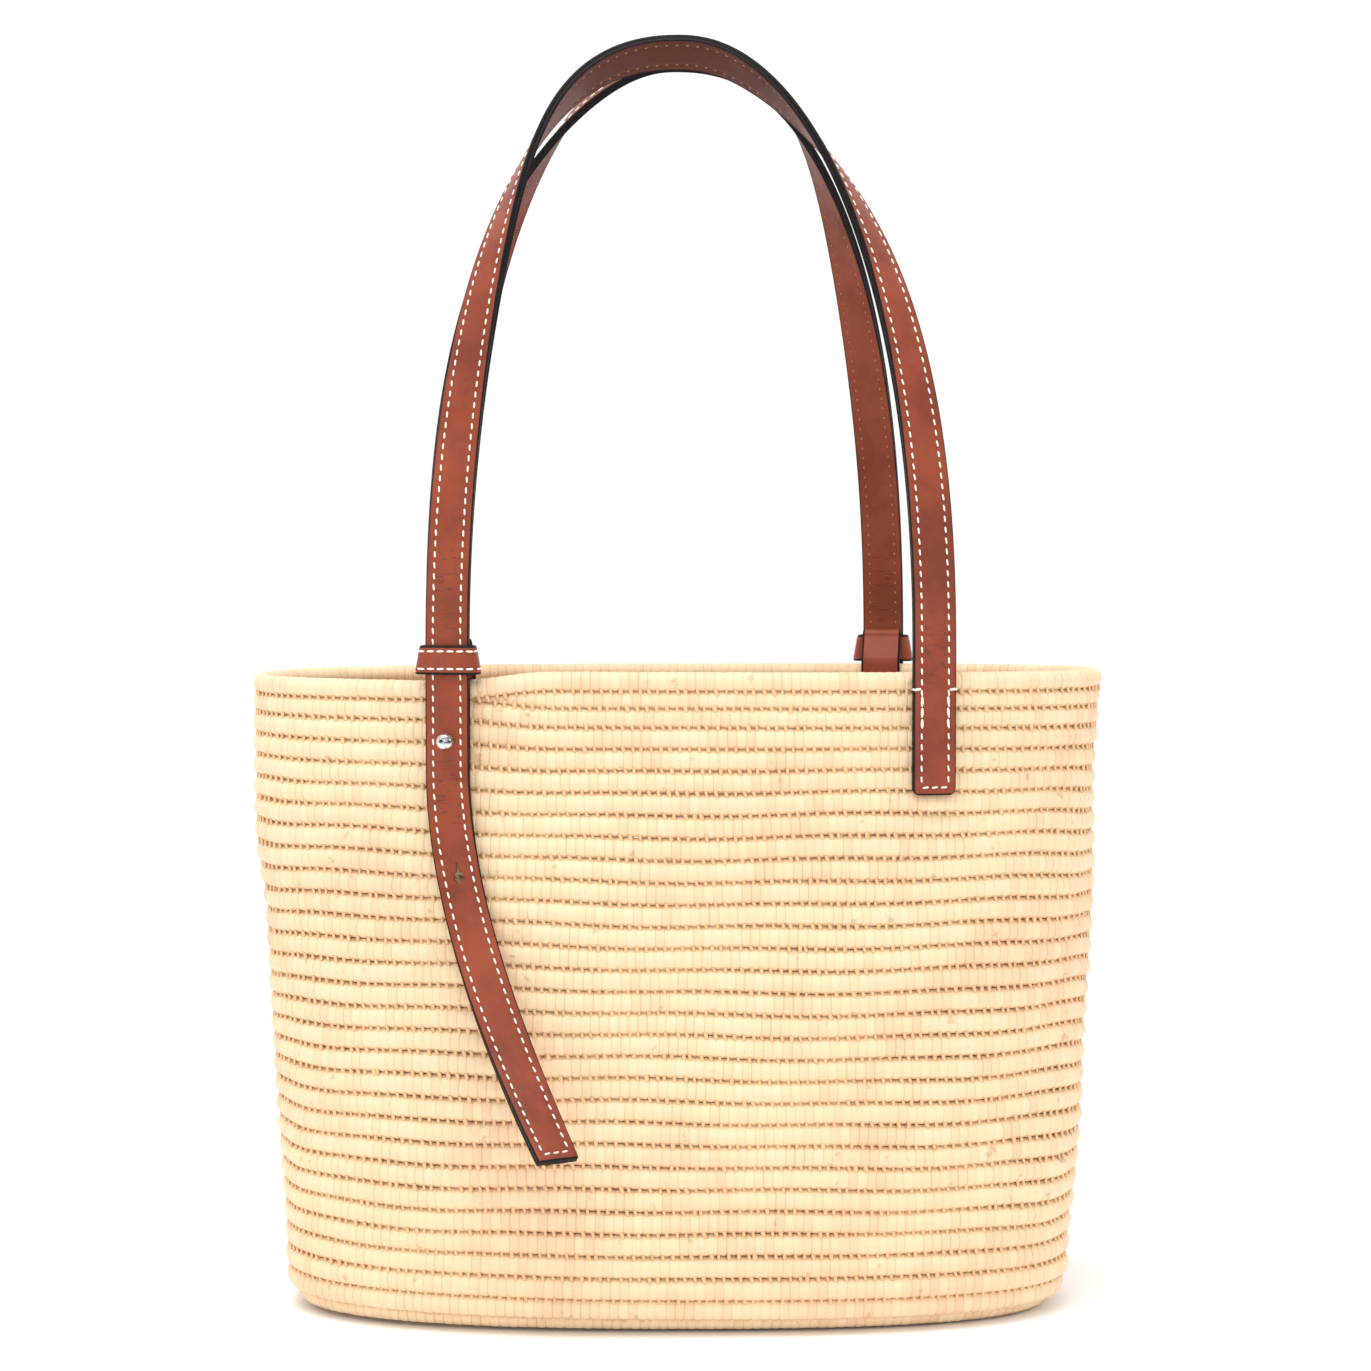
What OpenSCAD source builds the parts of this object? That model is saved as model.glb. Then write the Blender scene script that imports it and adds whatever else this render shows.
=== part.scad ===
// Coiled raffia beach bag with two leather shoulder straps.
// Origin: centre of the base on the ground. +X along the width, -Y towards the front, +Z up.
// The back fittings are the front ones turned half a turn about Z.

/* [Basket] */
// Outer width at the rim
top_w = 379; // [320:1:460]
// Outer depth at the rim
top_d = 152; // [128:1:184]
// Outer width at the base
base_w = 355; // [296:1:426]
// Outer depth at the base
base_d = 146; // [122:1:176]
// Lowest height of the rim, beside the coil's end
rim_low = 283; // [236:0.5:340]
// Climb of the last coil in one turn
coil_rise = 4; // [3.2:0.2:4.8]
// Diameter of one coil, also the thickness of the base
coil_d = 9.5; // [7.9:0.1:11.4]
// Wall thickness
wall_t = 8; // [6:0.1:9.6]
// Rounding between the base and the wall
bottom_r = 18; // [15:0.5:22]
// Depth of the wall's straight, upright part below the lowest rim
straight_drop = 77; // [64:0.5:92]
// Squareness of the oval plan
plan_power = 2.5; // [2.1:0.1:3]

/* [Straps] */
// Width of a strap
strap_w = 18.7; // [15.5:0.1:22.5]
// Thickness of one leather layer
leather_t = 1.8; // [1.5:0.1:2.2]
// Thickness of the glue line between the two layers
bond_t = 0.1; // [0.1:0.05:0.2]
// Distance of the adjustable leg from the bag's middle
adjust_x = 96.5; // [81:0.5:116]
// Distance of the sewn leg from the bag's middle
sewn_x = 109; // [91:1:130]
// Height of a strap's middle at the top of its arch, above the lowest rim
arch_h = 274.5; // [229:0.5:330]
// Room between the two straps at the top
apex_room = 2.6; // [1:0.1:6]
// Squareness of the arch
arch_power = 2.22; // [2:0.02:2.6]
// Shift of the arch's top towards the adjustable leg
apex_shift = 5.5; // [0:0.5:6.5]
// Further shift of the arch's two shoulders
shoulder_shift = 14; // [0:0.5:16.5]
// Turn of the strap about its length at the top of the arch
apex_turn = 125; // [100:1:130]
// Height above the lowest rim at which the straps fold over
fold_h = 27; // [24:0.5:33]
// Depth of the sewn end below the lowest rim
sewn_drop = 49; // [41:0.5:59]
// Radius of the sewn end's corners
end_corner_r = 3; // [2:0.5:6]

/* [Tail] */
// Depth of the tail's end below the stud
tail_drop = 169.5; // [142:0.5:203]
// Sideways sweep of the tail's end
tail_sweep = 48.5; // [41:0.5:58]
// Outward flare of the tail's end
tail_flare = 52; // [43:1:62]
// Turn of the tail about its length at its end
tail_turn = 40; // [20:1:48]
// Distance from the stud down to the spare hole
hole_step = 58; // [48:1:70]
// Radius of the spare hole
spare_hole_r = 2.2; // [1.8:0.1:2.6]

/* [Keeper and tab] */
// Height of the keeper
keeper_h = 12.4; // [10.4:0.1:13]
// Thickness of the keeper's band
keeper_t = 2; // [1.7:0.1:2.4]
// Room between a strap's edge and the keeper's side
keeper_room = 1.7; // [1.2:0.1:2.1]
// Width of the anchor tab
tab_w = 18; // [15:0.1:20]
// Thickness of the anchor tab
tab_t = 2; // [1.7:0.1:2.4]

/* [Stud] */
// Depth of the stud below the lowest rim
stud_drop = 25.5; // [21:0.5:31]
// Radius of the stud's ball
ball_r = 3.8; // [3.2:0.1:4.5]
// Radius of the stud's neck
neck_r = 2; // [1.7:0.1:2.3]
// Radius of the stud's collar
collar_r = 3.1; // [2.7:0.1:3.6]
// Thickness of the stud's collar
collar_t = 1.1; // [0.9:0.1:1.3]
// Radius of the screw's shank
screw_r = 1.4; // [1.2:0.1:1.6]
// Wall of the stud's barrel round the screw
barrel_t = 0.75; // [0.6:0.05:0.9]
// Radius of the screw's head
head_r = 4.4; // [3.6:0.1:5.2]
// Thickness of the screw's head
head_t = 1.3; // [1.1:0.1:1.6]

/* [Stitches] */
// Length of one stitch
stitch_l = 2.8; // [2.3:0.1:3.4]
// Distance from one stitch to the next
stitch_pitch = 4.6; // [3.8:0.1:5.5]
// Radius of the thread
thread_r = 0.4; // [0.3:0.05:0.5]
// Distance of a seam from the leather's edge
seam_inset = 3.4; // [2.8:0.1:4.1]

/* [Clearances] */
// Gap between leather and the basket, and between two pieces of leather
lay_gap = 0.3; // [0.3:0.05:0.4]
// Radial play of the stud in the holes of the leather and the wall
hole_play = 0.25; // [0.2:0.05:0.4]
// Radial play of the screw in the stud's barrel
screw_play = 0.05; // [0.03:0.01:0.08]
// Gap between the rim coil, the wall and the base
coil_gap = 0.1; // [0.1:0.05:0.2]
// Gap between a strap's parts where they fold, past the corners' sweep
fold_gap = 1.2; // [1:0.1:2]

/* [Hidden] */
$fn = 48;

raffia = [0.96, 0.84, 0.60];
saddle_brown = [0.55, 0.24, 0.14];
lining_brown = [0.50, 0.21, 0.12];
thread_white = [0.95, 0.92, 0.84];
steel = [0.80, 0.80, 0.82];

around = 96;                                   // points round the oval
round_rows = 4;                                // rows in the bottom rounding
seam_turn = 244;                               // oval angle at which the last coil starts
seam_share = 0.04;                             // share of the turn in which the coil's end dies out

strap_t = 2 * leather_t + bond_t;
straight_z = rim_low - straight_drop;
apex_lean = apex_turn - 90;                    // tilt of a strap's width at the top
apex_y = -(strap_w * cos(apex_lean) + strap_t * sin(apex_lean) + apex_room) / 2;
stud_z = rim_low - stud_drop;
fold_z = rim_low + fold_h;
apex_z = rim_low + arch_h;
keeper_z = rim_low + coil_rise * 0.6 + 0.3;    // clears the rim at both keepers
keeper_top = keeper_z + keeper_h;
neck_over = 2.5;                               // neck's length past the stud's side of the strap
tail_z = stud_z - strap_w / 2 - neck_over;     // height of the tail's bend
tail_end_z = stud_z - tail_drop;

// Outward distances from the wall's face, at the adjustable leg and at the sewn leg
tab_out = lay_gap;
neck_out = tab_out + tab_t + lay_gap;
keeper_out = neck_out + strap_t + lay_gap;
neck_mid = neck_out + strap_t / 2;
sewn_mid = lay_gap + strap_t / 2;
keeper_in_w = strap_w + 2 * keeper_room;
keeper_r = keeper_t * 0.4;                     // rounding inside the keeper's corners

// Plan of the oval: a point at the given angle, for half-width a and half-depth b
function oval(a, b, angle) =
    let(c = cos(angle), s = sin(angle), p = 2 / plan_power)
    [a * sign(c) * pow(abs(c), p), b * sign(s) * pow(abs(s), p)];
// Lean of the wall from the base, 0, to the straight part, 1
function lean(z) = min(1, z / straight_z);
function half_w(z) = (base_w + (top_w - base_w) * lean(z)) / 2;
function half_d(z) = (base_d + (top_d - base_d) * lean(z)) / 2;
// How far the outside, or with radius r the inside, draws in below the rounding
function draw_in(z, r) = z >= bottom_r ? 0 : r - sqrt(max(0, r * r - pow(bottom_r - z, 2)));
// Rim height along the climbing coil
function coil_share(angle) =
    let(u = (seam_turn - angle) / 360, turn = u - floor(u), rise = 1 - seam_share)
    turn < rise ? turn / rise : (1 + cos(180 * (turn - rise) / seam_share)) / 2;
function rim_z(angle) = rim_low + coil_rise * coil_share(angle);

// Front wall in its straight part: depth at a given x, and its slope
function wall_y(x) =
    -top_d / 2 * pow(1 - pow(abs(2 * x / top_w), plan_power), 1 / plan_power);
function wall_slope(x) =
    let(u = abs(2 * x / top_w))
    atan(sign(x) * top_d / top_w * pow(u, plan_power - 1)
        * pow(1 - pow(u, plan_power), 1 / plan_power - 1));
// A point out from the wall at x by a distance
function off_wall(x, out) =
    [x + out * sin(wall_slope(x)), wall_y(x) - out * cos(wall_slope(x))];

adjust_point = off_wall(-adjust_x, neck_mid);
sewn_point = off_wall(sewn_x, sewn_mid);
fold_corner = strap_w / 2 * sin(max(abs(wall_slope(adjust_x)), abs(wall_slope(sewn_x))) + 2);
fold_clear = strap_t / 2 + fold_corner + fold_gap;

// Arch: middle line of the front strap, from the adjustable leg (s = 0) to the sewn leg (s = 1)
arch_foot_z = keeper_z + keeper_h / 2;
arch_rings = 44;
foot_angle = asin(pow((fold_z - arch_foot_z) / (apex_z - arch_foot_z), arch_power / 2));
arch_mid_x = (adjust_point[0] + sewn_point[0]) / 2;
arch_half = (sewn_point[0] - adjust_point[0]) / 2;
function arch_share(s) = pow(sin(foot_angle + (180 - 2 * foot_angle) * s), 2 / arch_power);
function arch_point(s) =
    let(angle = foot_angle + (180 - 2 * foot_angle) * s,
        x = arch_mid_x - arch_half * sign(cos(angle)) * pow(abs(cos(angle)), 2 / arch_power),
        t = arch_share(s),
        leg_y = adjust_point[1] + (sewn_point[1] - adjust_point[1]) * s)
    [x - apex_shift * pow(t, 3) - shoulder_shift * abs(x - arch_mid_x) / arch_half * pow(t, 6),
     leg_y + (apex_y - leg_y) * t * t,
     arch_foot_z + (apex_z - arch_foot_z) * t];
// Turn of the strap about its own length, which starts some way up and quickens
turn_start = 0.15;
turn_power = 2;
function arch_turn(s) =
    let(leg = abs(wall_slope(s < 0.5 ? adjust_x : sewn_x)),
        u = max(0, arch_share(s) - turn_start) / (1 - turn_start))
    leg + (apex_turn - leg) * pow(u, turn_power);

// Tail: middle line of the front tail, from its bend (s = 0) to its end (s = 1)
sweep_power = 1.9;
flare_power = 3;
tail_rings = 14;
function tail_point(s) =
    [adjust_point[0] + tail_sweep * pow(s, sweep_power),
     adjust_point[1] - tail_flare * pow(s, flare_power),
     tail_z + (tail_end_z - tail_z) * s];
function tail_facing(s) = wall_slope(-adjust_x) + tail_turn * s;

function unit(v) = v / norm(v);
function flat_to(v, along) = unit(v - along * (v * along));
// Four corners of a strap layer between the distances low and high along its outward normal
function layer_ring(point, along, outward, low, high) =
    let(side = cross(along, outward) * strap_w / 2)
    [point - side + outward * low, point + side + outward * low,
     point + side + outward * high, point - side + outward * high];
function arch_ring(s, low, high) =
    let(step = 0.002,
        along = unit(arch_point(min(1, s + step)) - arch_point(max(0, s - step))),
        front = flat_to([0, -1, 0], along),
        outer = cross(front, along),
        turn = arch_turn(s))
    layer_ring(arch_point(s), along, front * cos(turn) + outer * sin(turn), low, high);
function tail_ring(s, low, high) =
    let(step = 0.002,
        along = unit(tail_point(min(1, s + step)) - tail_point(max(0, s - step))),
        facing = tail_facing(s))
    layer_ring(tail_point(s), along, flat_to([sin(facing), -cos(facing), 0], along), low, high);

// Solid through a row of four-cornered rings. The inner and outer faces are cut along the same
// diagonal, so that two layers laid together keep their gap where the strap turns.
module swept(rings) {
    last = len(rings) - 1;
    sides = [for (i = [0:last - 1], k = [0:3], half = [0, 1])
        let(a = 4 * i + k, b = 4 * i + (k + 1) % 4)
        k == 2 ? (half == 0 ? [a, a + 4, b + 4] : [a, b + 4, b])
               : (half == 0 ? [a, a + 4, b] : [b, a + 4, b + 4])];
    ends = [[0, 1, 2], [0, 2, 3], [4 * last, 4 * last + 2, 4 * last + 1],
            [4 * last, 4 * last + 3, 4 * last + 2]];
    polyhedron(points = [for (ring = rings) each ring], faces = concat(sides, ends));
}

// Closed band through rings of `around` points, the last ring joined to the first
module banded(rings) {
    count = len(rings);
    polyhedron(
        points = [for (ring = rings) each ring],
        faces = [for (i = [0:count - 1], k = [0:around - 1], half = [0, 1])
            let(next = (i + 1) % count * around, here = i * around, k2 = (k + 1) % around)
            half == 0 ? [here + k, next + k, here + k2] : [here + k2, next + k, next + k2]]);
}

// Outline of a strip with rounded lower corners, hanging down from y = 0
module strip_outline(w, l, r) {
    translate([-w / 2, -l + r]) square([w, l - r]);
    translate([-w / 2 + r, -l]) square([w - 2 * r, l]);
    for (side = [-1, 1]) translate([side * (w / 2 - r), -l + r]) circle(r);
}

// Places children at the front wall's face: local x along the wall, local -y outwards
module on_wall(x) {
    translate([x, wall_y(x), 0]) rotate([0, 0, wall_slope(x)]) children();
}

// Upright plate of an outline drawn in x and z, between two outward distances
module plate(top, out_low, out_high) {
    translate([0, -out_low, top]) rotate([90, 0, 0]) linear_extrude(out_high - out_low) children();
}

// Hole of radius r straight through the wall and the fittings at a height
module wall_hole(z, r, out_low, out_high) {
    translate([0, -out_low, z]) rotate([90, 0, 0]) cylinder(r = r, h = out_high - out_low);
}

// Rounded rectangle centred on the origin
module round_rect(w, d, r) {
    square([w - 2 * r, d], center = true);
    square([w, d - 2 * r], center = true);
    for (x = [-1, 1], y = [-1, 1]) translate([x * (w / 2 - r), y * (d / 2 - r)]) circle(r);
}

// Turns the front fittings to the back
module side(name) {
    rotate([0, 0, name == "back" ? 180 : 0]) children();
}

// ---- Basket ----

module basket_base() {
    inset = bottom_r + coil_gap;
    color(raffia) linear_extrude(coil_d)
        polygon([for (k = [0:around - 1])
            oval(base_w / 2 - inset, base_d / 2 - inset, 360 * k / around)]);
}

// One ring of the wall at height z, drawn in by a distance
function wall_ring(z, inset) = [for (k = [0:around - 1])
    let(p = oval(half_w(z) - inset, half_d(z) - inset, 360 * k / around)) [p[0], p[1], z]];
function wall_top_ring(inset) = [for (k = [0:around - 1])
    let(angle = 360 * k / around, p = oval(top_w / 2 - inset, top_d / 2 - inset, angle))
    [p[0], p[1], rim_z(angle) - coil_d - coil_gap]];

module wall_shell() {
    rise = [for (i = [0:round_rows]) bottom_r * (1 - cos(90 * i / round_rows))];
    inner_r = bottom_r - wall_t;
    inner = [for (i = [0:round_rows]) wall_t + inner_r * (1 - cos(90 * i / round_rows))];
    outside = [for (z = rise) wall_ring(z, draw_in(z, bottom_r))];
    inside = [for (i = [0:round_rows]) let(z = inner[round_rows - i])
        wall_ring(z, wall_t + draw_in(z, inner_r))];
    banded(concat(outside, [wall_ring(straight_z, 0), wall_top_ring(0), wall_top_ring(wall_t),
                            wall_ring(straight_z, wall_t)], inside));
}

module basket_wall() {
    color(raffia) difference() {
        wall_shell();
        for (name = ["front", "back"]) side(name) on_wall(-adjust_x)
            wall_hole(stud_z, screw_r + screw_play + barrel_t + hole_play, -2 * wall_t, wall_t);
    }
}

// The last, topmost coil
module rim_coil() {
    section = 10;
    rings = [for (j = [0:section - 1])
        let(turn = -360 * j / section,
            inset = wall_t / 2 - wall_t / 2 * cos(turn),
            up = coil_d / 2 * sin(turn))
        [for (k = [0:around - 1])
            let(angle = 360 * k / around, p = oval(top_w / 2 - inset, top_d / 2 - inset, angle))
            [p[0], p[1], rim_z(angle) - coil_d / 2 + up]]];
    color(raffia) banded([for (j = [0:section - 1]) rings[section - 1 - j]]);
}

// ---- Strap arch, which swings ----

module strap_layer(low, high) {
    swept([for (i = [0:arch_rings]) arch_ring(i / arch_rings, low, high)]);
}
module strap_face(name) {
    color(saddle_brown) side(name) strap_layer(bond_t / 2, strap_t / 2);
}
module strap_lining(name) {
    color(lining_brown) side(name) strap_layer(-strap_t / 2, -bond_t / 2);
}

// ---- Sewn end ----

sewn_top = fold_z - fold_clear;
sewn_l = sewn_top - rim_low + sewn_drop;
module sewn_layer(out_low, out_high) {
    on_wall(sewn_x) plate(sewn_top, out_low, out_high)
        strip_outline(strap_w, sewn_l, end_corner_r);
}
module sewn_end_face(name) {
    color(saddle_brown) side(name)
        sewn_layer(lay_gap + leather_t + bond_t, lay_gap + strap_t);
}
module sewn_end_lining(name) {
    color(lining_brown) side(name) sewn_layer(lay_gap, lay_gap + leather_t);
}

patch_top = rim_low - coil_d;
module end_patch(name) {
    color(lining_brown) side(name) on_wall(sewn_x)
        plate(patch_top, -wall_t - lay_gap - leather_t, -wall_t - lay_gap)
            strip_outline(strap_w, patch_top - rim_low + sewn_drop, end_corner_r);
}

// One stitch lying on a face: along z, or along x
module stitch_up(x, z, out) {
    translate([x, -out - thread_r, z]) cylinder(r = thread_r, h = stitch_l, center = true);
}
module stitch_across(x, z, out) {
    translate([x, -out - thread_r, z]) rotate([0, 90, 0])
        cylinder(r = thread_r, h = stitch_l, center = true);
}
seam_x = strap_w / 2 - seam_inset;
stitch_lift = 0.02;
foot_pitch = 0.85 * stitch_pitch;              // of the stitches across the sewn end's foot
module end_stitches(name) {
    low = rim_low - sewn_drop + seam_inset;
    count = floor((patch_top - low) / stitch_pitch);
    out = lay_gap + strap_t + stitch_lift;
    color(thread_white) side(name) on_wall(sewn_x) {
        for (i = [0:count - 1], x = [-1, 1])
            stitch_up(x * seam_x, low + (i + 0.7) * stitch_pitch, out);
        for (x = [-1:1]) stitch_across(x * foot_pitch, low, out);
        for (x = [-1, 1]) stitch_across(x * (seam_x + stitch_l / 4), patch_top, out);
    }
}

// ---- Adjustable leg: neck, keeper, tab and stud ----

neck_top = fold_z - fold_clear;
neck_low = tail_z + strap_t / 2 + fold_gap;
module neck_layer(out_low, out_high, hole) {
    on_wall(-adjust_x) difference() {
        plate(neck_top, out_low, out_high)
            translate([-strap_w / 2, neck_low - neck_top]) square([strap_w, neck_top - neck_low]);
        wall_hole(stud_z, hole, out_low - 1, out_high + 1);
    }
}
module strap_neck_face(name) {
    color(saddle_brown) side(name)
        neck_layer(neck_out + leather_t + bond_t, neck_out + strap_t, neck_r + hole_play);
}
module strap_neck_lining(name) {
    color(lining_brown) side(name)
        neck_layer(neck_out, neck_out + leather_t, collar_r + hole_play);
}

// Loop round the tab's outer leg and the strap
module keeper(name) {
    inner_low = -lay_gap + tab_out;                // the band's inner face, behind the tab
    inner_d = keeper_out - inner_low;
    color(saddle_brown) side(name) on_wall(-adjust_x)
        translate([0, -inner_low - inner_d / 2, keeper_z]) linear_extrude(keeper_h)
            difference() {
                round_rect(keeper_in_w + 2 * keeper_t, inner_d + 2 * keeper_t, keeper_r + keeper_t);
                round_rect(keeper_in_w, inner_d, keeper_r);
            }
}
module keeper_stitches(name) {
    out = keeper_out + keeper_t + stitch_lift;
    color(thread_white) side(name) on_wall(-adjust_x)
        for (row = [0.25, 0.75], i = [-2:2])
            stitch_across(i * stitch_pitch, keeper_z + keeper_h * row, out);
}

// Tab: outer leg, fold over the keeper's inner band, and inner leg inside the wall
module anchor_tab(name) {
    low = tail_z + strap_t;
    fold_r = keeper_t / 2 + lay_gap;
    band_mid = tab_out - lay_gap - keeper_t / 2;   // middle of the keeper's inner band
    bend = keeper_top - keeper_t / 4;
    inner_out = -wall_t - lay_gap;
    splay = keeper_z + 0.6;
    arc = [for (i = [0:12]) 15 * i];
    profile = concat(
        [[tab_out + tab_t, low]],
        [for (a = arc) [band_mid + (fold_r + tab_t) * cos(a), bend + (fold_r + tab_t) * sin(a)]],
        [[inner_out - tab_t, splay], [inner_out - tab_t, low], [inner_out, low],
         [inner_out, splay]],
        [for (a = arc) [band_mid - fold_r * cos(a), bend + fold_r * sin(a)]],
        [[tab_out, low]]);
    color(saddle_brown) side(name) on_wall(-adjust_x) difference() {
        rotate([90, 0, 90]) linear_extrude(tab_w, center = true)
            polygon([for (p = profile) [-p[0], p[1]]]);
        wall_hole(stud_z, screw_r + screw_play + barrel_t + hole_play, 0, neck_out);
        wall_hole(stud_z, screw_r + hole_play, inner_out - 2 * tab_t, inner_out + 0.1);
    }
}

// Round-headed stud: ball, neck, collar and the barrel that the screw enters
barrel_in = -wall_t + 0.2;
ball_seat = 0.85;                              // share of the ball's radius that stands off the strap
module stud(name) {
    collar_out = tab_out + tab_t + 0.05;
    ball_out = neck_out + strap_t + lay_gap + ball_r * ball_seat;
    color(steel) side(name) on_wall(-adjust_x) difference() {
        union() {
            translate([0, -ball_out, stud_z]) sphere(ball_r);
            wall_hole(stud_z, neck_r, collar_out, ball_out);
            wall_hole(stud_z, collar_r, collar_out, collar_out + collar_t);
            wall_hole(stud_z, screw_r + screw_play + barrel_t, barrel_in, collar_out + 0.2);
        }
        wall_hole(stud_z, screw_r + screw_play, barrel_in - 1, tab_out + tab_t);
    }
}
module stud_screw(name) {
    head_out = -wall_t - lay_gap - tab_t - 0.05;
    color(steel) side(name) on_wall(-adjust_x) difference() {
        union() {
            wall_hole(stud_z, screw_r, head_out - 0.1, tab_out + tab_t - 1);
            wall_hole(stud_z, head_r, head_out - head_t, head_out);
        }
        translate([0, -head_out + head_t, stud_z]) cube([2 * head_r + 1, 0.9, 0.9], center = true);
    }
}

// ---- Tail, which lifts ----

spare_share = (tail_z - stud_z + hole_step) / (tail_z - tail_end_z);
module tail_layer(low, high) {
    difference() {
        swept([for (i = [0:tail_rings]) tail_ring(i / tail_rings, low, high)]);
        translate(tail_point(spare_share)) rotate([0, 0, tail_facing(spare_share)])
            rotate([90, 0, 0]) cylinder(r = spare_hole_r, h = 20, center = true);
    }
}
module tail_face(name) {
    color(saddle_brown) side(name) tail_layer(bond_t / 2, strap_t / 2);
}
module tail_lining(name) {
    color(lining_brown) side(name) tail_layer(-strap_t / 2, -bond_t / 2);
}

basket_base();
basket_wall();
rim_coil();
strap_face("front");  // front_strap_face
strap_lining("front");  // front_strap_lining
sewn_end_face("front");  // front_sewn_end_face
sewn_end_lining("front");  // front_sewn_end_lining
end_patch("front");  // front_end_patch
end_stitches("front");  // front_end_stitches
strap_neck_face("front");  // front_strap_neck_face
strap_neck_lining("front");  // front_strap_neck_lining
tail_face("front");  // front_tail_face
tail_lining("front");  // front_tail_lining
keeper("front");  // front_keeper
keeper_stitches("front");  // front_keeper_stitches
anchor_tab("front");  // front_anchor_tab
stud("front");  // front_stud
stud_screw("front");  // front_stud_screw
strap_face("back");  // back_strap_face
strap_lining("back");  // back_strap_lining
sewn_end_face("back");  // back_sewn_end_face
sewn_end_lining("back");  // back_sewn_end_lining
end_patch("back");  // back_end_patch
end_stitches("back");  // back_end_stitches
strap_neck_face("back");  // back_strap_neck_face
strap_neck_lining("back");  // back_strap_neck_lining
tail_face("back");  // back_tail_face
tail_lining("back");  // back_tail_lining
keeper("back");  // back_keeper
keeper_stitches("back");  // back_keeper_stitches
anchor_tab("back");  // back_anchor_tab
stud("back");  // back_stud
stud_screw("back");  // back_stud_screw
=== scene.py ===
"""Coiled raffia beach bag with two leather shoulder straps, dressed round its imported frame."""
import logging
import math
from dataclasses import dataclass, field
from enum import Enum
from typing import Sequence

import bmesh
import bpy
import numpy as np
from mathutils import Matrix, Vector


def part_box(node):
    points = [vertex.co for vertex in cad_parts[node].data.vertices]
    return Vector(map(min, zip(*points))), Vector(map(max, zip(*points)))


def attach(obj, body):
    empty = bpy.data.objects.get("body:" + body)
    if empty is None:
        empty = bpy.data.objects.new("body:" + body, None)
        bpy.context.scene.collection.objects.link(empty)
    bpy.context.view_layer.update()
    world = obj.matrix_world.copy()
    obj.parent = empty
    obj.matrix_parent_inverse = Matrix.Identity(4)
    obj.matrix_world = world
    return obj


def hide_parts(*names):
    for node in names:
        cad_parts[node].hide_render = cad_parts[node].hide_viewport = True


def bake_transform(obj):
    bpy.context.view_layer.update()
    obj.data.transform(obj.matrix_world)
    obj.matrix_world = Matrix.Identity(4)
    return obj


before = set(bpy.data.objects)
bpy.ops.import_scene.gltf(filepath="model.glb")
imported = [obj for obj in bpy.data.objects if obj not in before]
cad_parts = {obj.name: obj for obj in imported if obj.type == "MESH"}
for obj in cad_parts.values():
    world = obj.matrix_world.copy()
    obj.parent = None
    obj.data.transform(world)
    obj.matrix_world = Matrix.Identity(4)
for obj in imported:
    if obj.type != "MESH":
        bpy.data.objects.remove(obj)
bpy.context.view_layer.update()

log = logging.getLogger("beach_bag")
UP = np.array([0.0, 0.0, 1.0])


class Side(Enum):
    """Which strap a fitting belongs to; the back is the front turned half a turn about Z."""

    FRONT = "front"
    BACK = "back"

    @property
    def sign(self) -> float:
        """Factor on x and y: 1 at the front, -1 at the back."""
        return 1.0 if self is Side.FRONT else -1.0

    def turned(self, points: np.ndarray) -> np.ndarray:
        """Front points or directions taken to this side."""
        return points * np.array([self.sign, self.sign, 1.0])


# ---------------------------------------------------------------- small helpers


def smooth_step(low: float, high: float, value: np.ndarray) -> np.ndarray:
    """Smooth rise from 0 at low to 1 at high.

    Args:
        low: value at which the rise starts.
        high: value at which it ends.
        value: where to read it.

    Returns:
        The share risen, 0 to 1.
    """
    t = np.clip((value - low) / (high - low), 0.0, 1.0)
    return t * t * (3 - 2 * t)


def unit(vectors: np.ndarray) -> np.ndarray:
    """Vectors brought to length one along their last axis."""
    return vectors / np.linalg.norm(vectors, axis=-1, keepdims=True)


def flat_to(vectors: np.ndarray, along: np.ndarray) -> np.ndarray:
    """Vectors with their part along a direction taken out, at length one."""
    return unit(vectors - along * np.sum(vectors * along, axis=-1, keepdims=True))


def tangents(points: np.ndarray) -> np.ndarray:
    """Direction of a row of points at each of them."""
    return unit(np.gradient(points, axis=0))


def run_length(points: np.ndarray) -> np.ndarray:
    """Distance run from the first point to each point."""
    steps = np.linalg.norm(np.diff(points, axis=0), axis=1)
    return np.concatenate([[0.0], np.cumsum(steps)])


def sampled(at: np.ndarray, places: np.ndarray, values: np.ndarray) -> np.ndarray:
    """Rows of values, known at some places along a line, read at other places.

    Args:
        at: places to read.
        places: rising places at which the values are known.
        values: one row per place.

    Returns:
        One row per place read.
    """
    return np.stack([np.interp(at, places, column) for column in values.T], axis=1)


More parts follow.
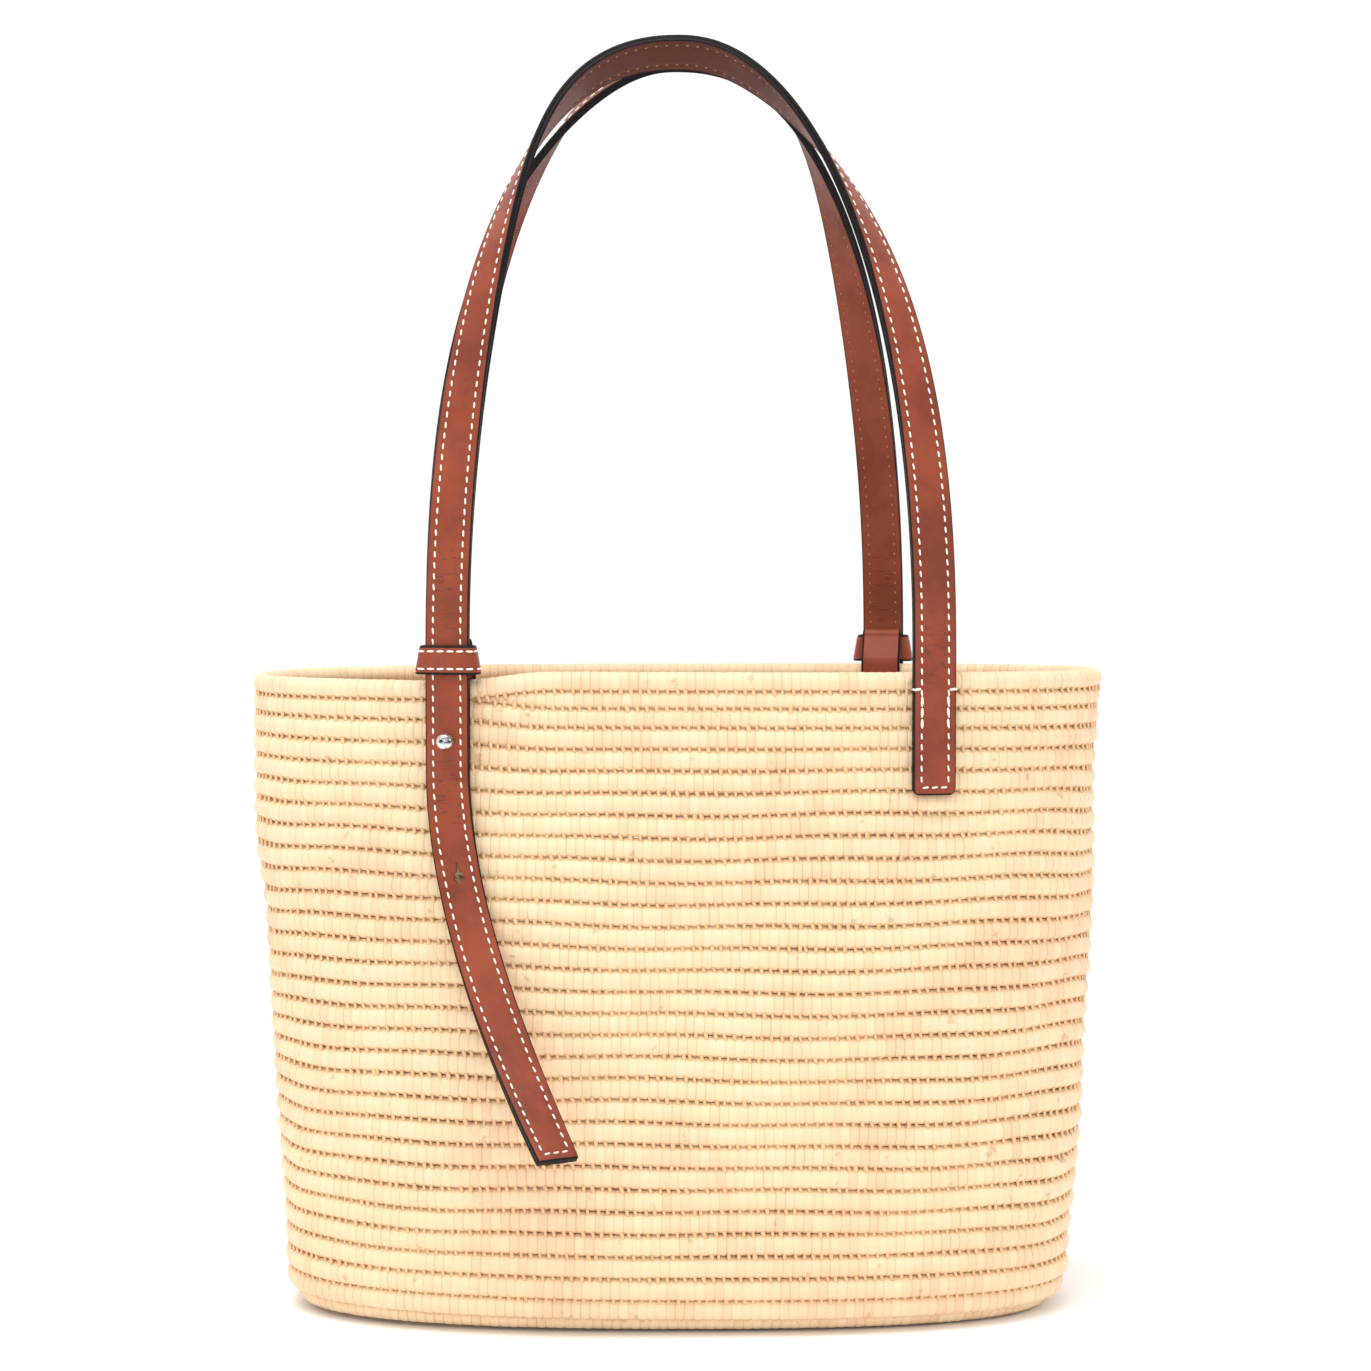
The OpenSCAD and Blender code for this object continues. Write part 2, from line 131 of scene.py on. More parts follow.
def mesh_object(
    name: str,
    points: np.ndarray,
    faces: Sequence[Sequence[int]],
    materials: Sequence[bpy.types.Material] = (),
    finish_of: Sequence[int] | None = None,
    edges: Sequence[Sequence[int]] = (),
    values: dict[str, np.ndarray] | None = None,
) -> bpy.types.Object:
    """A mesh object at the origin, with its attributes.

    Args:
        name: name of the object.
        points: vertex places, in metres.
        faces: vertex numbers of each face.
        materials: materials of its slots.
        finish_of: slot of each face, or None for the first.
        edges: loose edges, for a path.
        values: named point attributes, one number or one vector per point.

    Returns:
        The new object, in the scene.
    """
    mesh = bpy.data.meshes.new(name)
    mesh.from_pydata(points.tolist(), list(edges), [list(f) for f in faces])
    for key, data in (values or {}).items():
        kind = "FLOAT" if data.ndim == 1 else "FLOAT_VECTOR"
        attribute = mesh.attributes.new(key, kind, "POINT")
        attribute.data.foreach_set("value" if data.ndim == 1 else "vector",
                                   data.astype(np.float32).ravel())
    for material in materials:
        mesh.materials.append(material)
    if finish_of is not None:
        mesh.polygons.foreach_set("material_index", list(finish_of))
    mesh.shade_smooth()
    piece = bpy.data.objects.new(name, mesh)
    bpy.context.scene.collection.objects.link(piece)
    return piece


# ---------------------------------------------------------------- node trees


class TreeMaker:
    """Adds nodes and links to a node tree, for geometry and for materials alike."""

    def __init__(self, tree: bpy.types.NodeTree) -> None:
        """Works on a tree that is already there."""
        self.tree = tree

    def node(self, kind: str, inputs: dict | None = None, **options: object) -> bpy.types.Node:
        """Adds a node.

        Args:
            kind: Blender's name for the node's type.
            inputs: a value, or an output socket to link, by input identifier.
            options: the node's own properties.

        Returns:
            The new node.
        """
        made = self.tree.nodes.new(kind)
        for key, value in options.items():
            setattr(made, key, value)
        sockets = {s.identifier: s for s in made.inputs}
        for key, value in (inputs or {}).items():
            if isinstance(value, bpy.types.NodeSocket):
                self.tree.links.new(value, sockets[key])
            else:
                sockets[key].default_value = value
        return made

    def out(self, made: bpy.types.Node, key: str | int = 0) -> bpy.types.NodeSocket:
        """An output socket of a node, by identifier or by number."""
        if isinstance(key, int):
            return made.outputs[key]
        return next(s for s in made.outputs if s.identifier == key)

    def math(self, operation: str, a: object, b: object = 0.0) -> bpy.types.NodeSocket:
        """The result of a Math node on two values or sockets."""
        inputs = {"Value": a, "Value_001": b}
        return self.out(self.node("ShaderNodeMath", inputs, operation=operation))

    def ramp(self, value: object, low: float, high: float, to_low: float = 0.0,
             to_high: float = 1.0) -> bpy.types.NodeSocket:
        """A value taken smoothly from one range to another, held at both ends.

        Args:
            value: the value or socket to take.
            low: where the first range starts.
            high: where it ends.
            to_low: result at its start.
            to_high: result at its end.

        Returns:
            The result's socket.
        """
        inputs = {"Value": value, "From Min": low, "From Max": high,
                  "To Min": to_low, "To Max": to_high}
        made = self.node("ShaderNodeMapRange", inputs, interpolation_type="SMOOTHSTEP")
        return self.out(made)


class GeometryTree(TreeMaker):
    """A Geometry Nodes tree with named inputs that ends in real geometry with its material."""

    def __init__(self, name: str, inputs: dict[str, tuple[str, object]]) -> None:
        """Starts the tree.

        Args:
            name: name of the tree.
            inputs: socket type and default value by input name.
        """
        super().__init__(bpy.data.node_groups.new(name, "GeometryNodeTree"))
        face = self.tree.interface
        face.new_socket("Geometry", in_out="INPUT", socket_type="NodeSocketGeometry")
        self.keys: dict[str, str] = {}
        for key, (kind, value) in inputs.items():
            socket = face.new_socket(key, in_out="INPUT", socket_type=kind)
            if value is not None:
                socket.default_value = value
            self.keys[key] = socket.identifier
        face.new_socket("Geometry", in_out="OUTPUT", socket_type="NodeSocketGeometry")
        self.source = self.node("NodeGroupInput")

    def given(self, key: str) -> bpy.types.NodeSocket:
        """The tree's input of that name."""
        if key == "Geometry":
            return self.source.outputs[0]
        return self.out(self.source, self.keys[key])

    def named(self, key: str, kind: str = "FLOAT") -> bpy.types.NodeSocket:
        """A named attribute of the geometry."""
        made = self.node("GeometryNodeInputNamedAttribute", {"Name": key}, data_type=kind)
        return self.out(made)

    def end(self, geometry: bpy.types.NodeSocket) -> None:
        """Makes the result real, smooth and finished, and closes the tree.

        Args:
            geometry: the tree's last geometry.
        """
        real = self.node("GeometryNodeRealizeInstances", {"Geometry": geometry})
        smooth = self.node("GeometryNodeSetShadeSmooth", {"Geometry": self.out(real)})
        dressed = self.node("GeometryNodeSetMaterial",
                            {"Geometry": self.out(smooth), "Material": self.given("Material")})
        last = self.node("NodeGroupOutput")
        self.tree.links.new(self.out(dressed), last.inputs[0])

    def grow(self, name: str, source: bpy.types.Object,
             values: dict[str, object]) -> bpy.types.Object:
        """Runs the tree on a path or a set of points and keeps a plain mesh.

        Args:
            name: name of the finished piece.
            source: object that carries the path; it is used up.
            values: the tree's inputs by name.

        Returns:
            The finished piece.
        """
        modifier = source.modifiers.new("grow", "NODES")
        modifier.node_group = self.tree
        for key, value in values.items():
            modifier[self.keys[key]] = value
        graph = bpy.context.evaluated_depsgraph_get()
        graph.update()
        mesh = bpy.data.meshes.new_from_object(source.evaluated_get(graph))
        mesh.name = name
        bpy.data.objects.remove(source)
        piece = bpy.data.objects.new(name, mesh)
        bpy.context.scene.collection.objects.link(piece)
        return piece


def coil_tree() -> GeometryTree:
    """Tree that sweeps a wrapped raffia coil along a path.

    The path's points carry `outward`, the way the coil's flat side faces, `girth`, its share of the
    full section, and `wrap`, the number of wraps run so far.

    Returns:
        The tree, with the coil's half height and half depth, its squareness and the height of
        its ridges.
    """
    tree = GeometryTree("wrapped_coil", {
        "Half Height": ("NodeSocketFloat", 0.0049), "Half Depth": ("NodeSocketFloat", 0.004),
        "Squareness": ("NodeSocketFloat", 2.5), "Ridge": ("NodeSocketFloat", 0.0002),
        "Around": ("NodeSocketInt", 10), "Seed": ("NodeSocketInt", 3),
        "Material": ("NodeSocketMaterial", None)})
    line = tree.node("GeometryNodeMeshToCurve", {"Mesh": tree.given("Geometry")})
    line = tree.node("GeometryNodeSetCurveNormal",
                     {"Curve": tree.out(line), "Normal": tree.named("outward", "FLOAT_VECTOR")},
                     mode="FREE")
    ring = tree.node("GeometryNodeCurvePrimitiveCircle",
                     {"Resolution": tree.given("Around"), "Radius": 1.0})
    place = tree.node("ShaderNodeSeparateXYZ",
                      {"Vector": tree.out(tree.node("GeometryNodeInputPosition"))})
    power = tree.math("DIVIDE", 2.0, tree.given("Squareness"))
    sides = []
    for axis, size in (("X", "Half Depth"), ("Y", "Half Height")):
        value = tree.out(place, axis)
        bent = tree.math("POWER", tree.math("ABSOLUTE", value), power)
        bent = tree.math("MULTIPLY", bent, tree.math("SIGN", value))
        sides.append(tree.math("MULTIPLY", bent, tree.given(size)))
    squared = tree.node("ShaderNodeCombineXYZ", {"X": sides[0], "Y": sides[1]})
    section = tree.node("GeometryNodeSetPosition",
                        {"Geometry": tree.out(ring), "Position": tree.out(squared)})
    level = tree.node("GeometryNodeStoreNamedAttribute",
                      {"Geometry": tree.out(section), "Name": "level",
                       "Value": tree.math("DIVIDE", sides[1], tree.given("Half Height"))},
                      data_type="FLOAT", domain="POINT")
    skin = tree.node("GeometryNodeCurveToMesh",
                     {"Curve": tree.out(line), "Profile Curve": tree.out(level),
                      "Scale": tree.named("girth"), "Fill Caps": True})
    wrap = tree.named("wrap")
    number = tree.math("ADD", tree.math("FLOOR", wrap), tree.given("Seed"))
    chance = tree.out(tree.node("ShaderNodeTexWhiteNoise", {"W": number}, noise_dimensions="1D"))
    phase = tree.math("FRACT", wrap)
    arc = tree.math("POWER", tree.math("SINE", tree.math("MULTIPLY", phase, math.pi)), 0.6)
    height = tree.math("MULTIPLY", arc, tree.given("Ridge"))
    height = tree.math("MULTIPLY", height, tree.math("ADD", chance, 0.5))
    normal = tree.out(tree.node("GeometryNodeInputNormal"))
    lift = tree.node("ShaderNodeVectorMath", {"Vector": normal, "Scale": height},
                     operation="SCALE")
    ridged = tree.node("GeometryNodeSetPosition",
                       {"Geometry": tree.out(skin), "Offset": tree.out(lift)})
    tree.end(tree.out(ridged))
    return tree


def stitch_tree() -> GeometryTree:
    """Tree that lays a stitch on each point.

    The points carry `along`, the stitch's direction, `outward`, the way it faces, and `girth`, its
    share of the full size.

    Returns:
        The tree, with the stitch's half sizes, its bluntness, and the mean and spread of its slant.
    """
    tree = GeometryTree("laid_stitches", {
        "Half Length": ("NodeSocketFloat", 0.0014), "Half Width": ("NodeSocketFloat", 0.0004),
        "Half Depth": ("NodeSocketFloat", 0.0004), "Bluntness": ("NodeSocketFloat", 0.6),
        "Slant": ("NodeSocketFloat", 0.0), "Spread": ("NodeSocketFloat", 0.05),
        "Segments": ("NodeSocketInt", 8), "Rings": ("NodeSocketInt", 6),
        "Seed": ("NodeSocketInt", 1), "Material": ("NodeSocketMaterial", None)})
    bead = tree.node("GeometryNodeMeshUVSphere",
                     {"Segments": tree.given("Segments"), "Rings": tree.given("Rings"),
                      "Radius": 1.0})
    place = tree.node("ShaderNodeSeparateXYZ",
                      {"Vector": tree.out(tree.node("GeometryNodeInputPosition"))})
    axis = tree.out(place, "Z")
    blunt = tree.math("POWER", tree.math("ABSOLUTE", axis), tree.given("Bluntness"))
    blunt = tree.math("MULTIPLY", blunt, tree.math("SIGN", axis))
    shape = tree.node("ShaderNodeCombineXYZ", {
        "X": tree.math("MULTIPLY", blunt, tree.given("Half Length")),
        "Y": tree.math("MULTIPLY", tree.out(place, "X"), tree.given("Half Width")),
        "Z": tree.math("MULTIPLY", tree.out(place, "Y"), tree.given("Half Depth"))})
    stitch = tree.node("GeometryNodeSetPosition",
                       {"Geometry": tree.out(bead), "Position": tree.out(shape)})
    chance = tree.node("FunctionNodeRandomValue",
                       {"Min_001": -1.0, "Max_001": 1.0, "Seed": tree.given("Seed")},
                       data_type="FLOAT")
    slant = tree.math("MULTIPLY", tree.out(chance, "Value_001"), tree.given("Spread"))
    slant = tree.math("ADD", slant, tree.given("Slant"))
    facing = tree.node("FunctionNodeAxesToRotation",
                       {"Primary Axis": tree.named("outward", "FLOAT_VECTOR"),
                        "Secondary Axis": tree.named("along", "FLOAT_VECTOR")},
                       primary_axis="Z", secondary_axis="X")
    spin = tree.node("FunctionNodeEulerToRotation",
                     {"Euler": tree.out(tree.node("ShaderNodeCombineXYZ", {"Z": slant}))})
    facing = tree.node("FunctionNodeRotateRotation",
                       {"Rotation": tree.out(facing), "Rotate By": tree.out(spin)},
                       rotation_space="LOCAL")
    size = tree.node("ShaderNodeCombineXYZ", {k: tree.named("girth") for k in ("X", "Y", "Z")})
    laid = tree.node("GeometryNodeInstanceOnPoints",
                     {"Points": tree.given("Geometry"), "Instance": tree.out(stitch),
                      "Rotation": tree.out(facing), "Scale": tree.out(size)})
    tree.end(tree.out(laid))
    return tree


# ---------------------------------------------------------------- finishes


def colour(red: float, green: float, blue: float) -> tuple[float, float, float, float]:
    """An opaque colour for a node's socket."""
    return (red, green, blue, 1.0)


class Surface(TreeMaker):
    """A material's node tree, with its shader ready to be fed."""

    def __init__(self, name: str, settings: dict[str, object]) -> None:
        """Starts a material.

        Args:
            name: name of the material.
            settings: even values set on the shader's own sockets.
        """
        self.material = bpy.data.materials.new(name)
        self.material.use_nodes = True
        super().__init__(self.material.node_tree)
        self.shader = next(n for n in self.tree.nodes if n.type == "BSDF_PRINCIPLED")
        for key, value in settings.items():
            self.shader.inputs[key].default_value = value
        self.place = self.out(self.node("ShaderNodeTexCoord"), 3)

    def feed(self, key: str, value: bpy.types.NodeSocket) -> None:
        """Links a socket to the shader."""
        self.tree.links.new(value, self.shader.inputs[key])

    def attribute(self, key: str) -> bpy.types.NodeSocket:
        """A number that the mesh carries."""
        return self.node("ShaderNodeAttribute", attribute_name=key).outputs["Fac"]

    def noise(self, scale: float, detail: float = 3.0, vector: object = None,
              roughness: float = 0.5) -> bpy.types.NodeSocket:
        """Noise over the surface, about 0.3 to 0.7."""
        inputs = {"Vector": self.place if vector is None else vector, "Scale": scale,
                  "Detail": detail, "Roughness": roughness}
        return self.out(self.node("ShaderNodeTexNoise", inputs), "Fac")

    def mix(self, share: object, a: object, b: object) -> bpy.types.NodeSocket:
        """Two colours mixed by a share.

        Args:
            share: how much of the second.
            a: the first colour.
            b: the second colour.

        Returns:
            The mixed colour's socket.
        """
        made = self.node("ShaderNodeMix", data_type="RGBA")
        for key, value in (("Factor_Float", share), ("A_Color", a), ("B_Color", b)):
            socket = next(s for s in made.inputs if s.identifier == key)
            if isinstance(value, bpy.types.NodeSocket):
                self.tree.links.new(value, socket)
            else:
                socket.default_value = value
        return next(s for s in made.outputs if s.identifier == "Result_Color")

    def raise_by(self, height: bpy.types.NodeSocket, distance: float,
                 strength: float = 1.0) -> None:
        """Bumps the surface by a height from 0 to 1 over a distance in metres."""
        bump = self.node("ShaderNodeBump", {"Height": height, "Distance": distance,
                                            "Strength": strength})
        self.feed("Normal", self.out(bump))


@dataclass(frozen=True)
class RaffiaFinish:
    """Split raffia leaf: pale straw, with each wrap its own tone, painted shade on the lower side
    of each row and dark painted shade in the grooves between rows.
    """

    name: str = "raffia"
    cream: tuple = colour(0.95, 0.86, 0.61)
    # straw: a real tone of some wraps and of the binding strands, and also the painted shade on the
    # lower side of each row
    straw: tuple = colour(0.82, 0.54, 0.30)
    blush: tuple = colour(0.84, 0.52, 0.32)
    # groove: painted shade, the dark shadow deep in the grooves between rows
    groove: tuple = colour(0.085, 0.028, 0.007)
    crack: tuple = colour(0.36, 0.17, 0.06)
    # strand: the binding strands' tan, darker than the coil's cream, partly painted shade of the
    # grooves they sit in
    strand: tuple = colour(0.74, 0.48, 0.24)

    def build(self) -> bpy.types.Material:
        """The coil's material, which reads its wraps and the level across its section; painted
        shade darkens the lower side of each row and the grooves between rows.

        Returns:
            The material.
        """
        s = Surface(self.name, {"Roughness": 0.55, "Specular IOR Level": 0.35,
                                "Sheen Weight": 0.15, "Sheen Roughness": 0.4})
        wrap, level = s.attribute("wrap"), s.attribute("level")
        number = s.math("FLOOR", wrap)
        phase = s.math("FRACT", wrap)
        chance = s.node("ShaderNodeTexWhiteNoise", {"W": number}, noise_dimensions="1D")
        luck = s.out(chance, "Value")
        # Painted shade: the lower side of each row turns from cream to straw, as if lit from above.
        low = s.ramp(level, 0.72, -0.62)
        patches = s.ramp(s.noise(22.0, 2.0), 0.42, 0.62)
        shade = s.mix(low, self.cream, self.straw)
        shade = s.mix(s.math("MULTIPLY", luck, 0.30), shade, self.straw)
        blush = s.math("MULTIPLY", s.math("ADD", luck, 0.3), 0.45)
        blush = s.math("MULTIPLY", patches, blush)
        shade = s.mix(blush, shade, self.blush)
        strands = s.node("ShaderNodeCombineXYZ",
                         {"X": s.math("MULTIPLY", wrap, 5.0), "Y": level})
        fibre = s.noise(1.6, 4.0, s.out(strands), 0.6)
        shade = s.mix(s.math("MULTIPLY", s.ramp(fibre, 0.5, 0.75), 0.3), shade, self.crack)
        edge = s.math("MINIMUM", phase, s.math("SUBTRACT", 1.0, phase))
        line = s.ramp(edge, 0.10, 0.02)
        line = s.math("MULTIPLY", line, s.ramp(luck, 0.35, 1.0))
        line = s.math("MULTIPLY", line, s.ramp(level, 0.35, -0.5, 0.1, 0.75))
        shade = s.mix(line, shade, self.crack)
        # Painted shade: deep in the grooves between rows the colour turns nearly black-brown.
        depth = s.ramp(s.math("ABSOLUTE", level), 0.72, 0.93)
        shade = s.mix(depth, shade, self.groove)
        knots = s.ramp(s.noise(150.0, 3.0), 0.66, 0.74)
        shade = s.mix(s.math("MULTIPLY", knots, 0.35), shade, self.crack)
        s.feed("Base Color", shade)
        s.feed("Roughness", s.ramp(fibre, 0.3, 0.7, 0.42, 0.68))
        ridge = s.ramp(edge, 0.0, 0.12)
        s.raise_by(s.math("ADD", s.math("MULTIPLY", fibre, 0.6), ridge), 0.00025, 0.6)
        return s.material

    def build_strands(self) -> bpy.types.Material:
        """The material of the strands that bind one coil to the next, in tan tones darker than the
        coil's cream that are partly painted shade of the grooves they sit in.

        Returns:
            The material.
        """
        s = Surface(self.name + "_binding", {"Roughness": 0.55, "Specular IOR Level": 0.35,
                                             "Sheen Weight": 0.15, "Sheen Roughness": 0.4})
        blotch = s.ramp(s.noise(260.0, 2.0), 0.35, 0.65)
        wide = s.ramp(s.noise(22.0, 2.0), 0.42, 0.62)
        # The strands' tan tones are partly painted shade of the grooves they sit in.
        shade = s.mix(blotch, self.straw, self.strand)
        shade = s.mix(s.math("MULTIPLY", wide, 0.3), shade, self.blush)
        s.feed("Base Color", shade)
        s.raise_by(s.noise(1500.0, 2.0), 0.0002, 0.4)
        return s.material


@dataclass(frozen=True)
class LeatherFinish:
    """Smooth vegetable-tanned strap leather."""

    name: str
    body: tuple
    dark: tuple
    light: tuple
    roughness: float
    # Strength and colour of the painted shade near the top of the arch, where the strap's underside
    # faces down.
    apex_shade: float = 0.25
    apex_shade_tone: tuple = colour(0.060, 0.014, 0.008)

    def build(self) -> bpy.types.Material:
        """Leather with soft mottling, pores and cross creases, the creases bumped and darkened with
        painted shade, and painted shade darkening the strap near the top of the arch.

        Returns:
            The material.
        """
        s = Surface(self.name, {"Roughness": self.roughness, "Specular IOR Level": 0.26,
                                "Coat Weight": 0.03, "Coat Roughness": 0.35})
        mottle = s.noise(38.0, 4.0, roughness=0.6)
        shade = s.mix(s.ramp(mottle, 0.35, 0.7), self.body, self.dark)
        glow = s.math("MULTIPLY", s.ramp(s.noise(11.0, 2.0), 0.45, 0.7), 0.45)
        shade = s.mix(glow, shade, self.light)
        pores = s.node("ShaderNodeTexVoronoi", {"Vector": s.place, "Scale": 1500.0})
        grain = s.ramp(s.out(pores, "Distance"), 0.05, 0.5)
        height = s.math("ADD", s.math("MULTIPLY", grain, 0.35), s.noise(420.0, 4.0))
        run = s.attribute("run")
        across = s.attribute("across")
        wander = s.node("ShaderNodeCombineXYZ", {"X": s.math("MULTIPLY", run, 620.0),
                                                 "Y": s.math("MULTIPLY", across, 1.5)})
        folds = s.ramp(s.noise(1.0, 3.0, s.out(wander), 0.55), 0.56, 0.66)
        inside = s.ramp(s.math("ABSOLUTE", across), 0.75, 0.45)
        zone = s.math("MULTIPLY", s.attribute("crease"), inside)
        folds = s.math("MULTIPLY", folds, zone)
        # Painted shade: the crease lines are darkened as well as bumped.
        shade = s.mix(s.math("MULTIPLY", folds, 0.75), shade, self.dark)
        # Painted shade: darker near the top of the arch.
        apex_shade = s.math("MULTIPLY", s.attribute("apex_shade"), self.apex_shade)
        shade = s.mix(apex_shade, shade, self.apex_shade_tone)
        s.feed("Base Color", shade)
        s.feed("Roughness",
               s.ramp(mottle, 0.3, 0.7, self.roughness - 0.06, self.roughness + 0.08))
        s.raise_by(s.math("SUBTRACT", height, s.math("MULTIPLY", folds, 2.6)), 0.00012, 0.8)
        return s.material


@dataclass(frozen=True)
class EdgePaintFinish:
    """Thick, nearly black paint on the cut edges of the leather."""

    name: str = "edge_paint"

    def build(self) -> bpy.types.Material:
        """Dark blue-black paint, slightly lumpy and half glossy.

        Returns:
            The material.
        """
        s = Surface(self.name, {"Roughness": 0.5, "Specular IOR Level": 0.15})
        lumps = s.noise(500.0, 3.0)
        s.feed("Base Color", s.mix(s.ramp(lumps, 0.3, 0.7), colour(0.004, 0.003, 0.004),
                                   colour(0.010, 0.007, 0.008)))
        s.feed("Roughness", s.ramp(lumps, 0.3, 0.7, 0.42, 0.6))
        s.raise_by(lumps, 0.0002, 0.5)
        return s.material


@dataclass(frozen=True)
class ThreadFinish:
    """Waxed linen sewing thread."""

    name: str
    tone: tuple
    dark: tuple

    def build(self) -> bpy.types.Material:
        """Thread with the twist of its plies.

        Returns:
            The material.
        """
        s = Surface(self.name, {"Roughness": 0.6, "Specular IOR Level": 0.3,
                                "Sheen Weight": 0.2})
        twist = s.node("ShaderNodeTexWave",
                       {"Vector": s.place, "Scale": 700.0, "Distortion": 1.0},
                       bands_direction="DIAGONAL")
        ply = s.out(twist, "Fac")
        s.feed("Base Color", s.mix(s.math("MULTIPLY", ply, 0.5), self.tone, self.dark))
        s.raise_by(ply, 0.0001, 0.5)
        return s.material


@dataclass(frozen=True)
class SteelFinish:
    """Polished, plated steel."""

    name: str = "polished_steel"
    # Height, reach and core of a painted reflection: a dark band standing in for the horizon
    # mirrored in the ball.
    reflection_band_z: float = 0.258
    reflection_band_reach: float = 0.0022
    reflection_band_core: float = 0.0006

    def build(self) -> bpy.types.Material:
        """Mirror-bright metal with faint handling marks, a painted reflection: a dark band about
        the stud's height, broken in spots, and painted darker reflections where the surface turns
        away from view.

        Returns:
            The material.
        """
        s = Surface(self.name, {"Metallic": 1.0, "Roughness": 0.08})
        marks = s.noise(900.0, 4.0)
        shade = s.mix(marks, colour(0.80, 0.80, 0.82), colour(0.66, 0.66, 0.69))
        height = s.out(s.node("ShaderNodeSeparateXYZ", {"Vector": s.place}), "Z")
        away = s.math("ABSOLUTE", s.math("SUBTRACT", height, self.reflection_band_z))
        turned = s.node("ShaderNodeLayerWeight", {"Blend": 0.5}).outputs["Facing"]
        spots = s.ramp(s.noise(520.0, 1.0), 0.40, 0.56)
        # Painted reflection: a dark band about the stud's height, on the part facing the view,
        # broken in spots.
        band = s.math("MULTIPLY", s.ramp(away, self.reflection_band_reach, self.reflection_band_core),
                      s.ramp(turned, 0.62, 0.30))
        band = s.math("MULTIPLY", band, spots)
        # Painted reflection: darker where the surface turns away from view.
        edge = s.math("MULTIPLY", s.ramp(turned, 0.60, 0.90), 0.35)
        dark = s.math("MULTIPLY", s.math("MAXIMUM", band, edge), 0.95)
        s.feed("Base Color", s.mix(dark, shade, colour(0.03, 0.028, 0.028)))
        s.feed("Roughness", s.ramp(marks, 0.3, 0.7, 0.05, 0.16))
        return s.material


class Finishes:
    """Every material of the bag, each made once."""

    def __init__(self) -> None:
        """Builds them all."""
        raffia = RaffiaFinish()
        self.raffia = raffia.build()
        self.binding = raffia.build_strands()
        self.leather = LeatherFinish(
            "strap_leather", body=colour(0.27, 0.050, 0.020), dark=colour(0.17, 0.030, 0.012),
            light=colour(0.34, 0.075, 0.033), roughness=0.40).build()
        # The lining faces down at the top of the arch, so it takes the painted shade there
        # strongly.
        self.lining = LeatherFinish(
            "lining_leather", body=colour(0.25, 0.050, 0.022), dark=colour(0.17, 0.034, 0.015),
            light=colour(0.30, 0.070, 0.034), roughness=0.50, apex_shade=0.85).build()
        self.paint = EdgePaintFinish().build()
        self.thread = ThreadFinish("thread", colour(0.90, 0.86, 0.76),
                                   colour(0.70, 0.63, 0.50)).build()
        self.back_thread = ThreadFinish("thread_underside", colour(0.42, 0.17, 0.08),
                                        colour(0.28, 0.09, 0.04)).build()
        self.steel = SteelFinish().build()


# ---------------------------------------------------------------- the basket


